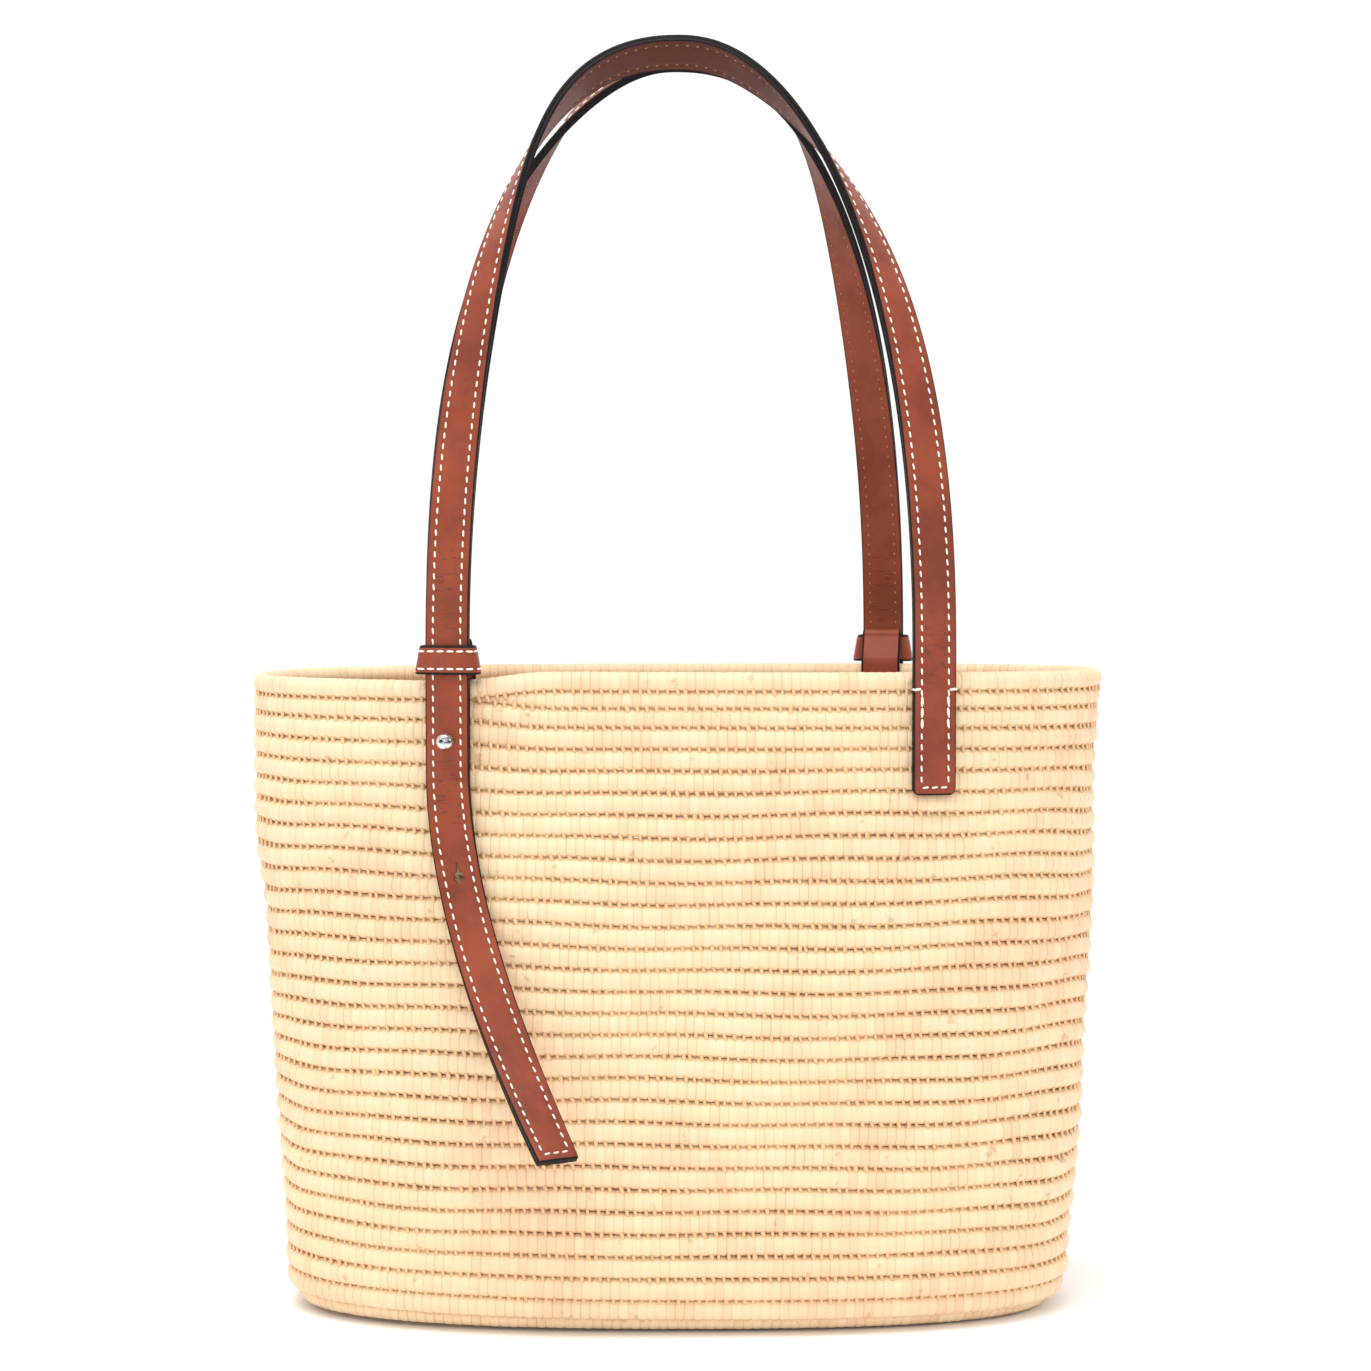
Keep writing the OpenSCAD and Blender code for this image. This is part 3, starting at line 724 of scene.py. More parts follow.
@dataclass
class BasketShape:
    """The basket's outline, as the frame has it."""

    base_w: float = 0.355
    base_d: float = 0.146
    coil_rise: float = 0.004
    coil_d: float = 0.0095
    wall_t: float = 0.008
    bottom_r: float = 0.018
    straight_drop: float = 0.077
    power: float = 2.5
    seam_turn: float = 244.0
    seam_share: float = 0.04
    left_squeeze: float = 0.0026
    right_squeeze: float = 0.0030
    right_bulge: float = 0.0022
    dents: tuple[float, float] = (0.0009, 0.0006)
    wanders: tuple[float, float] = (0.0008, 0.0005)
    top_w: float = field(init=False)
    top_d: float = field(init=False)
    rim_low: float = field(init=False)
    straight_z: float = field(init=False)

    def __post_init__(self) -> None:
        """Takes the overall sizes from the frame."""
        low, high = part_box("basket_wall")
        self.top_w, self.top_d = high.x - low.x, high.y - low.y
        self.rim_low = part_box("rim_coil")[1].z - self.coil_rise
        self.straight_z = self.rim_low - self.straight_drop

    def half_w(self, z: np.ndarray) -> np.ndarray:
        """Half the outer width at a height."""
        return (self.base_w + (self.top_w - self.base_w) * np.clip(z / self.straight_z, 0, 1)) / 2

    def half_d(self, z: np.ndarray) -> np.ndarray:
        """Half the outer depth at a height."""
        return (self.base_d + (self.top_d - self.base_d) * np.clip(z / self.straight_z, 0, 1)) / 2

    def oval(self, a: np.ndarray, b: np.ndarray,
             angle: np.ndarray) -> tuple[np.ndarray, np.ndarray]:
        """Points of the oval plan and the level outward normals there.

        Args:
            a: half width.
            b: half depth.
            angle: angle in degrees.

        Returns:
            Points and normals, both with z zero.
        """
        c, s = np.cos(np.radians(angle)), np.sin(np.radians(angle))
        flat = np.zeros_like(c)
        share = 2 / self.power
        points = np.stack([a * np.sign(c) * np.abs(c) ** share,
                           b * np.sign(s) * np.abs(s) ** share, flat], axis=-1)
        bend = 2 - share
        normals = np.stack([np.sign(c) * np.abs(c) ** bend / a,
                            np.sign(s) * np.abs(s) ** bend / b, flat], axis=-1)
        return points, unit(normals)

    def rim_share(self, angle: np.ndarray) -> np.ndarray:
        """Share of the coil's rise that the rim has at an angle.

        Args:
            angle: angle in degrees.

        Returns:
            The share, 0 to 1.
        """
        turn = np.mod((self.seam_turn - angle) / 360, 1.0)
        rise = 1 - self.seam_share
        drop = (1 + np.cos(math.pi * np.clip((turn - rise) / self.seam_share, 0, 1))) / 2
        return np.where(turn < rise, turn / rise, drop)

    def wall_y(self, x: float) -> float:
        """Depth of the front wall's face at x."""
        return -self.top_d / 2 * (1 - abs(2 * x / self.top_w) ** self.power) ** (1 / self.power)

    def wall_slope(self, x: float) -> float:
        """Angle by which the front wall has turned away at x.

        Args:
            x: distance to the side of the middle.

        Returns:
            The angle, in radians.
        """
        u = abs(2 * x / self.top_w)
        steep = u ** (self.power - 1) * (1 - u ** self.power) ** (1 / self.power - 1)
        return math.atan(math.copysign(self.top_d / self.top_w * steep, x))

    def wall_out(self, x: float) -> np.ndarray:
        """Outward direction of the front wall's face at x."""
        slope = self.wall_slope(x)
        return np.array([math.sin(slope), -math.cos(slope), 0.0])

    def wall_along(self, x: float) -> np.ndarray:
        """Level direction along the front wall's face at x, to the right."""
        slope = self.wall_slope(x)
        return np.array([math.cos(slope), math.sin(slope), 0.0])

    def off_wall(self, x: float, out: float) -> np.ndarray:
        """The point a distance out from the front wall's face at x, on the ground."""
        return np.array([x, self.wall_y(x), 0.0]) + out * self.wall_out(x)

    def settled(self, points: np.ndarray, outward: np.ndarray) -> np.ndarray:
        """The hand-made shell's sag: its ends draw in below the straight part, its faces are a
        little uneven, and its rows wander.

        Args:
            points: places on the shell.
            outward: outward normals there.

        Returns:
            The places, moved.
        """
        x, y, z = points.T
        around = np.arctan2(y / self.top_d, x / self.top_w)
        end = np.clip(np.abs(2 * x / self.top_w), 0, 1) ** 3
        below = self.rim_low - z
        left = self.left_squeeze * smooth_step(self.straight_z + 0.010, self.straight_z - 0.030, z)
        right = self.right_squeeze * smooth_step(0.0, 0.045, below)
        right -= self.right_bulge * smooth_step(0.13, 0.08, z) * smooth_step(0.03, 0.06, z)
        squeeze = np.where(x < 0, left, right) * end
        free = smooth_step(0.05, 0.11, below) * smooth_step(0.004, 0.05, z)
        dent = (self.dents[0] * np.sin(3 * around + 9 * z)
                + self.dents[1] * np.sin(7 * around - 31 * z + 1.0))
        rows = smooth_step(0.012, 0.06, below) * smooth_step(0.015, 0.06, z)
        wander = (self.wanders[0] * np.sin(4 * around + 23 * z)
                  + self.wanders[1] * np.sin(11 * around - 47 * z))
        level = outward.copy()
        level[:, 2] = 0
        moved = points + level * ((dent * free) - squeeze)[:, None]
        moved[:, 2] += wander * rows
        return moved


@dataclass
class Course:
    """A line of coil: its places, the way it faces, and its girth as a share of the full coil."""

    points: np.ndarray
    outward: np.ndarray
    girth: np.ndarray

    def spaced(self, step: float) -> "Course":
        """The same line with points an even distance apart.

        Args:
            step: the distance.

        Returns:
            The new line.
        """
        run = run_length(self.points)
        at = np.arange(0, run[-1], step)
        return Course(sampled(at, run, self.points), unit(sampled(at, run, self.outward)),
                      np.interp(at, run, self.girth))

    def cut(self, first: int, last: int) -> "Course":
        """A stretch of the line."""
        return Course(self.points[first:last], self.outward[first:last], self.girth[first:last])


@dataclass
class Basket:
    """The coiled raffia shell: one coil that spirals from the base's middle up to the rim, and the
    rim coil on top of it."""

    shape: BasketShape
    finishes: Finishes
    coil_out: float = 0.0041
    pitch: float = 0.00957
    rim_step: float = 0.0084
    first_step: float = 0.0088
    dip: float = 0.0031
    wrap: float = 0.00405
    wrap_parts: int = 4
    strand_l: float = 0.0046
    strand_w: float = 0.0019
    strand_t: float = 0.0013
    strand_slant: float = 0.18
    strand_in: float = 0.0017
    strand_spread: float = 0.16
    strand_slide: float = 0.10
    strand_jitter: float = 0.00015
    squareness: float = 2.0
    ridge: float = 0.00018
    rim_squareness: float = 2.1
    rim_ridge: float = 0.00016
    row_gap: float = 0.0001
    rim_gap: float = 0.0003
    corner_lift: float = 0.0004
    turn_points: int = 720
    coils: GeometryTree = field(default_factory=coil_tree)
    stitches: GeometryTree = field(default_factory=stitch_tree)

    def top_line(self, turns: np.ndarray) -> np.ndarray:
        """Height of a row's top edge. The first row fills the step that the rim makes at its end,
        and the rows below dip beside it, less and less with depth.

        Args:
            turns: turns back from the coil's end at the rim.

        Returns:
            Heights, run on straight below the ground for the coils of the base.
        """
        g = self.shape
        down = np.where(turns < 2, self.first_step * np.clip(turns - 1, 0, None),
                        self.first_step + self.pitch * (turns - 2))
        dip = np.where(turns < 1, g.coil_rise, -self.dip * 0.75 ** np.clip(turns - 1, 0, None))
        return g.rim_low - self.rim_step - down + g.rim_share(g.seam_turn + 360 * turns) * dip

    def course_at(self, turns: np.ndarray) -> Course:
        """The spiral's line, by the number of turns back from its end.

        Args:
            turns: turns back from the coil's end at the rim.

        Returns:
            The line, before it settles.
        """
        g = self.shape
        angle = g.seam_turn + 360 * turns
        top, low = self.top_line(turns), self.top_line(turns + 1)
        z = (top + low) / 2
        girth = np.clip((top - low) / self.pitch, 0.12, 1.06)
        radius = g.bottom_r - self.coil_out
        sunk = np.maximum(g.bottom_r - z, 0)
        bend = np.clip(sunk / radius, 0, math.pi / 2)
        flat = np.maximum(sunk - radius * math.pi / 2, 0)
        inset = g.bottom_r - radius * np.cos(bend) + flat
        height = np.where(z > g.bottom_r, z, g.bottom_r - radius * np.sin(bend))
        height += self.corner_lift * np.sin(bend)
        a, b = g.half_w(height) - inset, g.half_d(height) - inset
        points, normal = g.oval(a, np.maximum(b, 0.0006), angle)
        points[:, 2] = height
        outward = normal * np.cos(bend)[:, None] - UP * np.sin(bend)[:, None]
        return Course(points, outward, girth)

    def turn_count(self) -> float:
        """Length of the whole spiral, from its end at the rim to the base's middle.

        Returns:
            Its number of turns.
        """
        g = self.shape
        wall = g.rim_low - self.rim_step - self.first_step - self.pitch / 2 - g.bottom_r
        corner = (g.bottom_r - self.coil_out) * math.pi / 2
        floor = g.base_d / 2 - g.bottom_r - self.pitch / 2
        return 2 + (wall + corner + floor) / self.pitch

    def rim_course(self) -> Course:
        """The closed top coil.

        Returns:
            Its line, all the way round.
        """
        g = self.shape
        angle = np.linspace(0, 360, 4 * self.turn_points + 1)
        inset = self.coil_out
        points, normal = g.oval(np.full_like(angle, g.top_w / 2 - inset),
                                np.full_like(angle, g.top_d / 2 - inset), angle)
        middle = g.rim_low - self.rim_step / 2 - self.row_gap
        points[:, 2] = middle + g.coil_rise * g.rim_share(angle)
        return Course(points, normal, np.ones_like(angle))

    def settle(self, course: Course) -> Course:
        """The line after the shell has settled."""
        points = self.shape.settled(course.points, course.outward)
        return Course(points, course.outward, course.girth)

    def path_object(self, name: str, course: Course, first_wrap: float,
                    closed: bool) -> bpy.types.Object:
        """A path mesh that carries what the coil tree needs.

        Args:
            name: name for the object.
            course: the coil's line.
            first_wrap: number of wraps run before it.
            closed: whether its end joins its start.

        Returns:
            The path.
        """
        count = len(course.points)
        edges = [(i, i + 1) for i in range(count - 1)]
        if closed:
            edges.append((count - 1, 0))
        wraps = first_wrap + np.arange(count) / self.wrap_parts
        return mesh_object(name, course.points, [], edges=edges,
                           values={"outward": course.outward, "girth": course.girth, "wrap": wraps})

    def coil_piece(self, name: str, course: Course, first: int, last: int) -> bpy.types.Object:
        """One stretch of wrapped coil as a mesh.

        Args:
            name: name of the piece.
            course: the whole spiral.
            first: number of the stretch's first point.
            last: number of its last point.

        Returns:
            The piece.
        """
        part = course.cut(first, last + 1)
        path = self.path_object(name + "_path", part, first / self.wrap_parts, False)
        return self.coils.grow(name, path, {
            "Half Height": (self.pitch - self.row_gap) / 2, "Half Depth": self.coil_out,
            "Squareness": self.squareness, "Ridge": self.ridge,
            "Material": self.finishes.raffia})

    def strand_points(self, name: str, course: Course, seed: int) -> bpy.types.Object:
        """The places of the strands that bind each coil to the next, outside and inside.

        Args:
            name: name for the object.
            course: the line of the groove between two rows.
            seed: start of the random places.

        Returns:
            An object of loose points for the stitch tree.
        """
        luck = np.random.default_rng(seed)
        laid = course.spaced(self.wrap)
        count = len(laid.points)
        along = tangents(laid.points)
        uphill = unit(np.cross(along, laid.outward))
        slide = luck.normal(0, self.strand_slide * self.wrap, count)[:, None] * along
        jitter = luck.normal(0, self.strand_jitter, count)[:, None]
        out = laid.points + laid.outward * (self.coil_out - self.strand_in + jitter) + slide
        inner = laid.points - laid.outward * (self.coil_out - self.strand_in + jitter) + slide
        size = np.clip(luck.normal(1.0, 0.12, 2 * count), 0.7, 1.3)
        return mesh_object(name, np.concatenate([out, inner]), [], values={
            "outward": np.concatenate([laid.outward, -laid.outward]),
            "along": np.concatenate([uphill, uphill]), "girth": size})

    def build(self) -> list[bpy.types.Object]:
        """Makes the coil, the rim and the binding strands.

        Returns:
            Every piece of the basket.
        """
        turns = self.turn_count()
        back = np.linspace(0, turns, int(turns * self.turn_points))
        step = self.wrap / self.wrap_parts
        spiral = self.settle(self.course_at(back)).spaced(step)
        last = len(spiral.points) - 1
        cuts = np.linspace(0, last, 6).astype(int)
        names = ("coil_top", "coil_upper", "coil_middle", "coil_lower", "coil_bottom")
        pieces = [self.coil_piece("basket_" + n, spiral, a, b)
                  for n, a, b in zip(names, cuts[:-1], cuts[1:])]
        rim = self.rim_course()
        whole = run_length(rim.points)[-1]
        wraps = round(whole / self.wrap)
        parts = wraps * self.wrap_parts
        ring = rim.spaced(whole / parts).cut(0, parts)
        path = self.path_object("rim_path", ring, 0.0, True)
        pieces.append(self.coils.grow("rim_coil_wrapped", path, {
            "Half Height": (self.rim_step - self.rim_gap) / 2, "Half Depth": self.coil_out,
            "Squareness": self.rim_squareness, "Ridge": self.rim_ridge, "Seed": 11,
            "Material": self.finishes.raffia}))
        groove = back[back < turns - 1]
        here, under = self.course_at(groove), self.course_at(groove + 1)
        middle = Course((here.points + under.points) / 2, unit(here.outward + under.outward),
                        here.girth)
        edge = self.top_line(groove + 1)
        upright = edge > self.shape.bottom_r
        middle.points[upright, 2] = edge[upright]
        keep = here.girth > 0.3
        grooves = self.settle(Course(middle.points[keep], middle.outward[keep],
                                     np.ones(int(keep.sum()))))
        seat = Course(rim.points - UP * (self.rim_step / 2 - self.row_gap), rim.outward,
                      rim.girth)
        binding = {"Half Length": self.strand_l / 2, "Half Width": self.strand_w / 2,
                   "Half Depth": self.strand_t / 2, "Slant": self.strand_slant,
                   "Spread": self.strand_spread, "Segments": 6, "Rings": 3, "Bluntness": 0.7,
                   "Material": self.finishes.binding}
        half = len(grooves.points) // 2
        lines = (("binding_upper", grooves.cut(0, half)),
                 ("binding_lower", grooves.cut(half, len(grooves.points))),
                 ("binding_rim", seat))
        for seed, (name, course) in enumerate(lines):
            points = self.strand_points(name + "_points", course, seed)
            pieces.append(self.stitches.grow(name, points, binding))
        return pieces

    def dress(self, pieces: list[bpy.types.Object]) -> None:
        """Hands the pieces to the frame. The last stretch of coil stands for the base too.

        Args:
            pieces: the basket's pieces, in the order in which build makes them.
        """
        for piece in pieces:
            node = "rim_coil" if "rim" in piece.name else "basket_wall"
            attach(piece, "basket")
            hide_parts(node)
            log.info("%s: %d faces", piece.name, len(piece.data.polygons))
        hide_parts("basket_base")


# ---------------------------------------------------------------- the straps


@dataclass
class Ribbon:
    """A strap's middle line: places, directions and outward normals, an even step apart."""

    points: np.ndarray
    outward: np.ndarray

    @property
    def along(self) -> np.ndarray:
        """Direction of the line at each place."""
        return tangents(self.points)

    @property
    def run(self) -> np.ndarray:
        """Distance from the start."""
        return run_length(self.points)

    def at(self, run: np.ndarray, across: np.ndarray | float,
           out: np.ndarray | float) -> tuple[np.ndarray, np.ndarray, np.ndarray]:
        """Places on the strap.

        Args:
            run: distances along it.
            across: distances to the side of its middle line.
            out: distances out from its middle line.

        Returns:
            The places, the directions along, and the outward normals.
        """
        total = self.run
        middle = sampled(run, total, self.points)
        along = unit(sampled(run, total, self.along))
        outward = flat_to(sampled(run, total, self.outward), along)
        side = np.cross(along, outward)
        across = np.broadcast_to(across, run.shape)[:, None]
        out = np.broadcast_to(out, run.shape)[:, None]
        return middle + side * across + outward * out, along, outward


@dataclass
class StrapShape:
    """Sizes of the straps, as the frame has them."""

    shape: BasketShape
    width: float = 0.0187
    leather_t: float = 0.0018
    bond_t: float = 0.0001
    adjust_x: float = 0.0965
    sewn_x: float = 0.109
    arch_h: float = 0.2745
    arch_power: float = 2.22
    apex_shift: float = 0.0055
    shoulder_shift: float = 0.014
    apex_turn: float = 125.0
    fold_h: float = 0.027
    sewn_drop: float = 0.049
    corner_r: float = 0.003
    tail_drop: float = 0.1695
    tail_sweep: float = 0.0485
    tail_flare: float = 0.052
    tail_turn: float = 40.0
    tail_gap: float = 0.0025
    hole_step: float = 0.058
    hole_r: float = 0.0022
    keeper_h: float = 0.0124
    keeper_t: float = 0.002
    keeper_room: float = 0.0017
    keeper_rise: float = 0.6
    tab_w: float = 0.018
    tab_t: float = 0.002
    stud_drop: float = 0.0255
    ball_r: float = 0.0038
    neck_r: float = 0.002
    collar_r: float = 0.0031
    seam_inset: float = 0.0034
    stitch_l: float = 0.0028
    stitch_pitch: float = 0.0046
    thread_r: float = 0.0004
    end_pitch: float = 0.88
    lay_gap: float = 0.0003
    apex_room: float = 0.0026
    turn_start: float = 0.15
    turn_power: float = 2.0
    sweep_power: float = 1.9
    flare_power: float = 3.0
    thick: float = field(init=False)
    seam: float = field(init=False)
    apex_y: float = field(init=False)
    apex_z: float = field(init=False)
    fold_z: float = field(init=False)
    keeper_z: float = field(init=False)
    foot_z: float = field(init=False)
    stud_z: float = field(init=False)
    tail_z: float = field(init=False)
    tail_end_z: float = field(init=False)
    sewn_end_z: float = field(init=False)
    neck_out: float = field(init=False)
    keeper_out: float = field(init=False)
    adjust_foot: np.ndarray = field(init=False)
    sewn_foot: np.ndarray = field(init=False)

    def __post_init__(self) -> None:
        """Works out the heights and the feet of the arch."""
        g = self.shape
        self.thick = 2 * self.leather_t + self.bond_t
        self.apex_z = g.rim_low + self.arch_h
        lean = math.radians(self.apex_turn - 90)
        reach = self.width * math.cos(lean) + self.thick * math.sin(lean)
        self.apex_y = -(reach + self.apex_room) / 2
        self.fold_z = g.rim_low + self.fold_h
        self.keeper_z = g.rim_low + self.keeper_rise * g.coil_rise + self.lay_gap
        self.foot_z = self.keeper_z + self.keeper_h / 2
        self.stud_z = g.rim_low - self.stud_drop
        self.tail_z = self.stud_z - self.width / 2 - self.tail_gap
        self.tail_end_z = self.stud_z - self.tail_drop
        self.sewn_end_z = g.rim_low - self.sewn_drop
        self.neck_out = 2 * self.lay_gap + self.tab_t
        self.keeper_out = self.neck_out + self.thick + self.lay_gap
        self.seam = self.width / 2 - self.seam_inset
        self.adjust_foot = g.off_wall(-self.adjust_x, self.neck_out + self.thick / 2)
        self.sewn_foot = g.off_wall(self.sewn_x, self.lay_gap + self.thick / 2)

    @property
    def stitch_half(self) -> tuple[float, float, float]:
        """Half length, half width and half depth of a stitch."""
        return self.stitch_l / 2, self.thread_r * 1.15, self.thread_r

    def arch(self, step: float) -> Ribbon:
        """The strap from inside the keeper, over the arch, down to its sewn end.

        Args:
            step: distance between its places.

        Returns:
            Its middle line.
        """
        g = self.shape
        left, right = self.adjust_foot, self.sewn_foot
        angle = np.radians(np.linspace(0, 180, 1441))
        c, s = np.cos(angle), np.sin(angle)
        middle, half = (left[0] + right[0]) / 2, (right[0] - left[0]) / 2
        share = np.abs(s) ** (2 / self.arch_power)
        leg_y = left[1] + (right[1] - left[1]) * angle / math.pi
        across = middle - half * np.sign(c) * np.abs(c) ** (2 / self.arch_power)
        shoulder = self.shoulder_shift * np.abs(across - middle) / half * share ** 6
        points = np.stack([across - self.apex_shift * share ** 3 - shoulder,
                           leg_y + (self.apex_y - leg_y) * share ** 2,
                           self.foot_z + (self.apex_z - self.foot_z) * share], axis=1)
        legs = np.where(angle < math.pi / 2, abs(g.wall_slope(self.adjust_x)),
                        abs(g.wall_slope(self.sewn_x)))
        rise = np.clip(share - self.turn_start, 0, 1) / (1 - self.turn_start)
        turn = legs + (math.radians(self.apex_turn) - legs) * rise ** self.turn_power
        end = np.array([[right[0], right[1], self.sewn_end_z]])
        points = np.concatenate([points, end])
        turn = np.concatenate([turn, turn[-1:]])
        run = run_length(points)
        at = np.linspace(0, run[-1], int(run[-1] / step))
        points = sampled(at, run, points)
        turn = np.interp(at, run, turn)[:, None]
        along = tangents(points)
        front = flat_to(np.broadcast_to([0.0, -1.0, 0.0], points.shape), along)
        outer = np.cross(front, along)
        return Ribbon(points, front * np.cos(turn) + outer * np.sin(turn))

    def tail(self, step: float) -> Ribbon:
        """The strap from inside the keeper down past the stud to its free end.

        Args:
            step: distance between its places.

        Returns:
            Its middle line.
        """
        g = self.shape
        s = np.linspace(0, 1, 721)
        x, y = self.adjust_foot[:2]
        hanging = np.stack([x + self.tail_sweep * s ** self.sweep_power,
                            y - self.tail_flare * s ** self.flare_power,
                            self.tail_z + (self.tail_end_z - self.tail_z) * s], axis=1)
        points = np.concatenate([[[x, y, self.foot_z]], hanging])
        turn = math.radians(self.tail_turn) * np.concatenate([[0], s])
        facing = g.wall_slope(-self.adjust_x) + turn
        run = run_length(points)
        at = np.linspace(0, run[-1], int(run[-1] / step))
        facing = np.interp(at, run, facing)
        points = sampled(at, run, points)
        outward = np.stack([np.sin(facing), -np.cos(facing), np.zeros_like(facing)], axis=1)
        return Ribbon(points, flat_to(outward, tangents(points)))


# The bead of edge paint: distances in from the cut edge, and how far the leather there lies below
# its face. The seam's groove is as deep as SEAM_DIP.
BEAD_IN = np.array([0.0, 0.00005, 0.00022, 0.0005, 0.00075, 0.0011, 0.0017])
BEAD_DROP = np.array([0.0009, 0.00042, 0.00012, 0.0001, 0.00034, 0.00018])
SEAM_DIP = 0.00022


def strap_section(width: float, thick: float, seam: float) -> tuple[np.ndarray, np.ndarray]:
    """Half of a layer's face, from its middle line to its cut edge: a slight crown, a sunk seam and
    the raised bead of the edge paint.

    Args:
        width: width of the strap.
        thick: distance of the face from the strap's middle.
        seam: distance of the seam from the middle line.

    Returns:
        Distances to the side, and distances out.
    """
    edge = width / 2
    crown, groove_w = 0.00012, 0.0006
    inner = np.array([0.0, 0.3, 0.6, 0.82, 0.92, 1.0, 1.08, 1.2]) * seam
    across = np.concatenate([inner, edge - BEAD_IN[::-1]])
    out = thick - crown * (across / edge) ** 2
    out -= SEAM_DIP * np.exp(-((across - seam) / groove_w) ** 2)
    out[-len(BEAD_IN):] = thick - np.append(BEAD_DROP, crown)[::-1]
    return across, out


@dataclass
class LayerMaker:
    """Makes one leather layer of a strap, with its painted edges."""

    s: StrapShape
    leather: bpy.types.Material
    paint: bpy.types.Material
    painted: int = 3
    end_steps: tuple[float, ...] = (0.0026, 0.0036, 0.0046)
    even_from: float = 0.0058
    paint_reach: float = 0.0009
    # The painted shade at the top of the arch starts this far below the apex and is full this far
    # below it.
    apex_shade_low: float = 0.085
    apex_shade_high: float = 0.012

    def outline(self) -> tuple[np.ndarray, np.ndarray, int]:
        """The layer's section: across its face, then back along its bonded side.

        Returns:
            Distances to the side, distances out, and how many of the points are on the face.
        """
        half, out = strap_section(self.s.width, self.s.thick / 2, self.s.seam)
        low = self.s.bond_t / 2
        across = np.concatenate([-half[::-1], half[1:], [half[-1], half[-6], -half[-6], -half[-1]]])
        face = np.concatenate([out[::-1], out[1:], [low * 0.2, low, low, low * 0.2]])
        return across, face, 2 * len(half) - 1

    def skin(self, rows: np.ndarray, count: int, on_face: int,
             up: float) -> tuple[list[tuple[int, ...]], list[int]]:
        """The faces between the rows of a layer, and its two ends.

        Args:
            rows: distances of the rows along the ribbon.
            count: points of the section.
            on_face: how many of them are on the face.
            up: 1 for the outer layer, -1 for the lining.

        Returns:
            Vertex numbers of each face, and its slot: 0 for leather, 1 for edge paint.
        """
        faces, finish = [], []
        for i in range(len(rows) - 1):
            painted_row = rows[-1] - rows[i] < self.paint_reach
            for k in range(count):
                a, b = i * count + k, i * count + (k + 1) % count
                quad = (a, b, b + count, a + count)
                faces.append(quad if up < 0 else quad[::-1])
                on_edge = (k < self.painted or k == count - 1
                           or on_face - 1 - self.painted <= k < on_face)
                finish.append(1 if painted_row or on_edge else 0)
        last = (len(rows) - 1) * count
        caps = [tuple(range(count)), tuple(range(last + count - 1, last - 1, -1))]
        faces += caps if up > 0 else [c[::-1] for c in caps]
        return faces, finish + [1, 1]

    def build(self, name: str, ribbon: Ribbon, side: Side, up: float, corner: float,
              creases: Sequence[tuple[float, float]]) -> bpy.types.Object:
        """A layer along a ribbon, with its free end painted too.

        Args:
            name: name of the piece.
            ribbon: the strap's middle line, which ends at the free end.
            side: front or back.
            up: 1 for the outer layer, -1 for the lining.
            corner: radius of the free end's corners.
            creases: stretches of the run that are creased.

        Returns:
            The layer.
        """
        across, face, on_face = self.outline()
        half_w, low = self.s.width / 2, self.s.bond_t / 2
        total = ribbon.run[-1]
        step = total / (len(ribbon.points) - 1)
        fine = np.concatenate([BEAD_IN, self.end_steps])
        even = np.arange(self.even_from, total - self.even_from, step)
        rows = np.unique(np.concatenate([fine, even, total - fine[::-1]]))
        drop = np.concatenate([BEAD_DROP, [0.00006, 0.0, 0.0, 0.0]])
        points = []
        for row in rows:
            left = total - row
            sunk = np.interp(left, fine, drop)
            edge = half_w
            if left < corner:
                edge += math.sqrt(corner ** 2 - (corner - left) ** 2) - corner
            height = np.where(face > low * 1.5, np.maximum(face - sunk, low * 1.2), face)
            at = np.full(len(across), row)
            points.append(ribbon.at(at, across * edge / half_w, up * height)[0])
        points = side.turned(np.concatenate(points))
        faces, finish = self.skin(rows, len(across), on_face, up)
        run = np.repeat(rows, len(across))
        crease = np.zeros_like(run)
        for start, end in creases:
            middle, reach = (start + end) / 2, (end - start) / 2
            crease = np.maximum(crease, smooth_step(1.0, 0.4, np.abs(run - middle) / reach))
        # Mask of the painted shade near the top of the arch.
        apex_shade = smooth_step(self.s.apex_z - self.apex_shade_low, self.s.apex_z - self.apex_shade_high,
                              points[:, 2])
        return mesh_object(name, points, faces, [self.leather, self.paint], finish, values={
            "run": run, "across": np.tile(across / half_w, len(rows)), "crease": crease,
            "apex_shade": apex_shade})


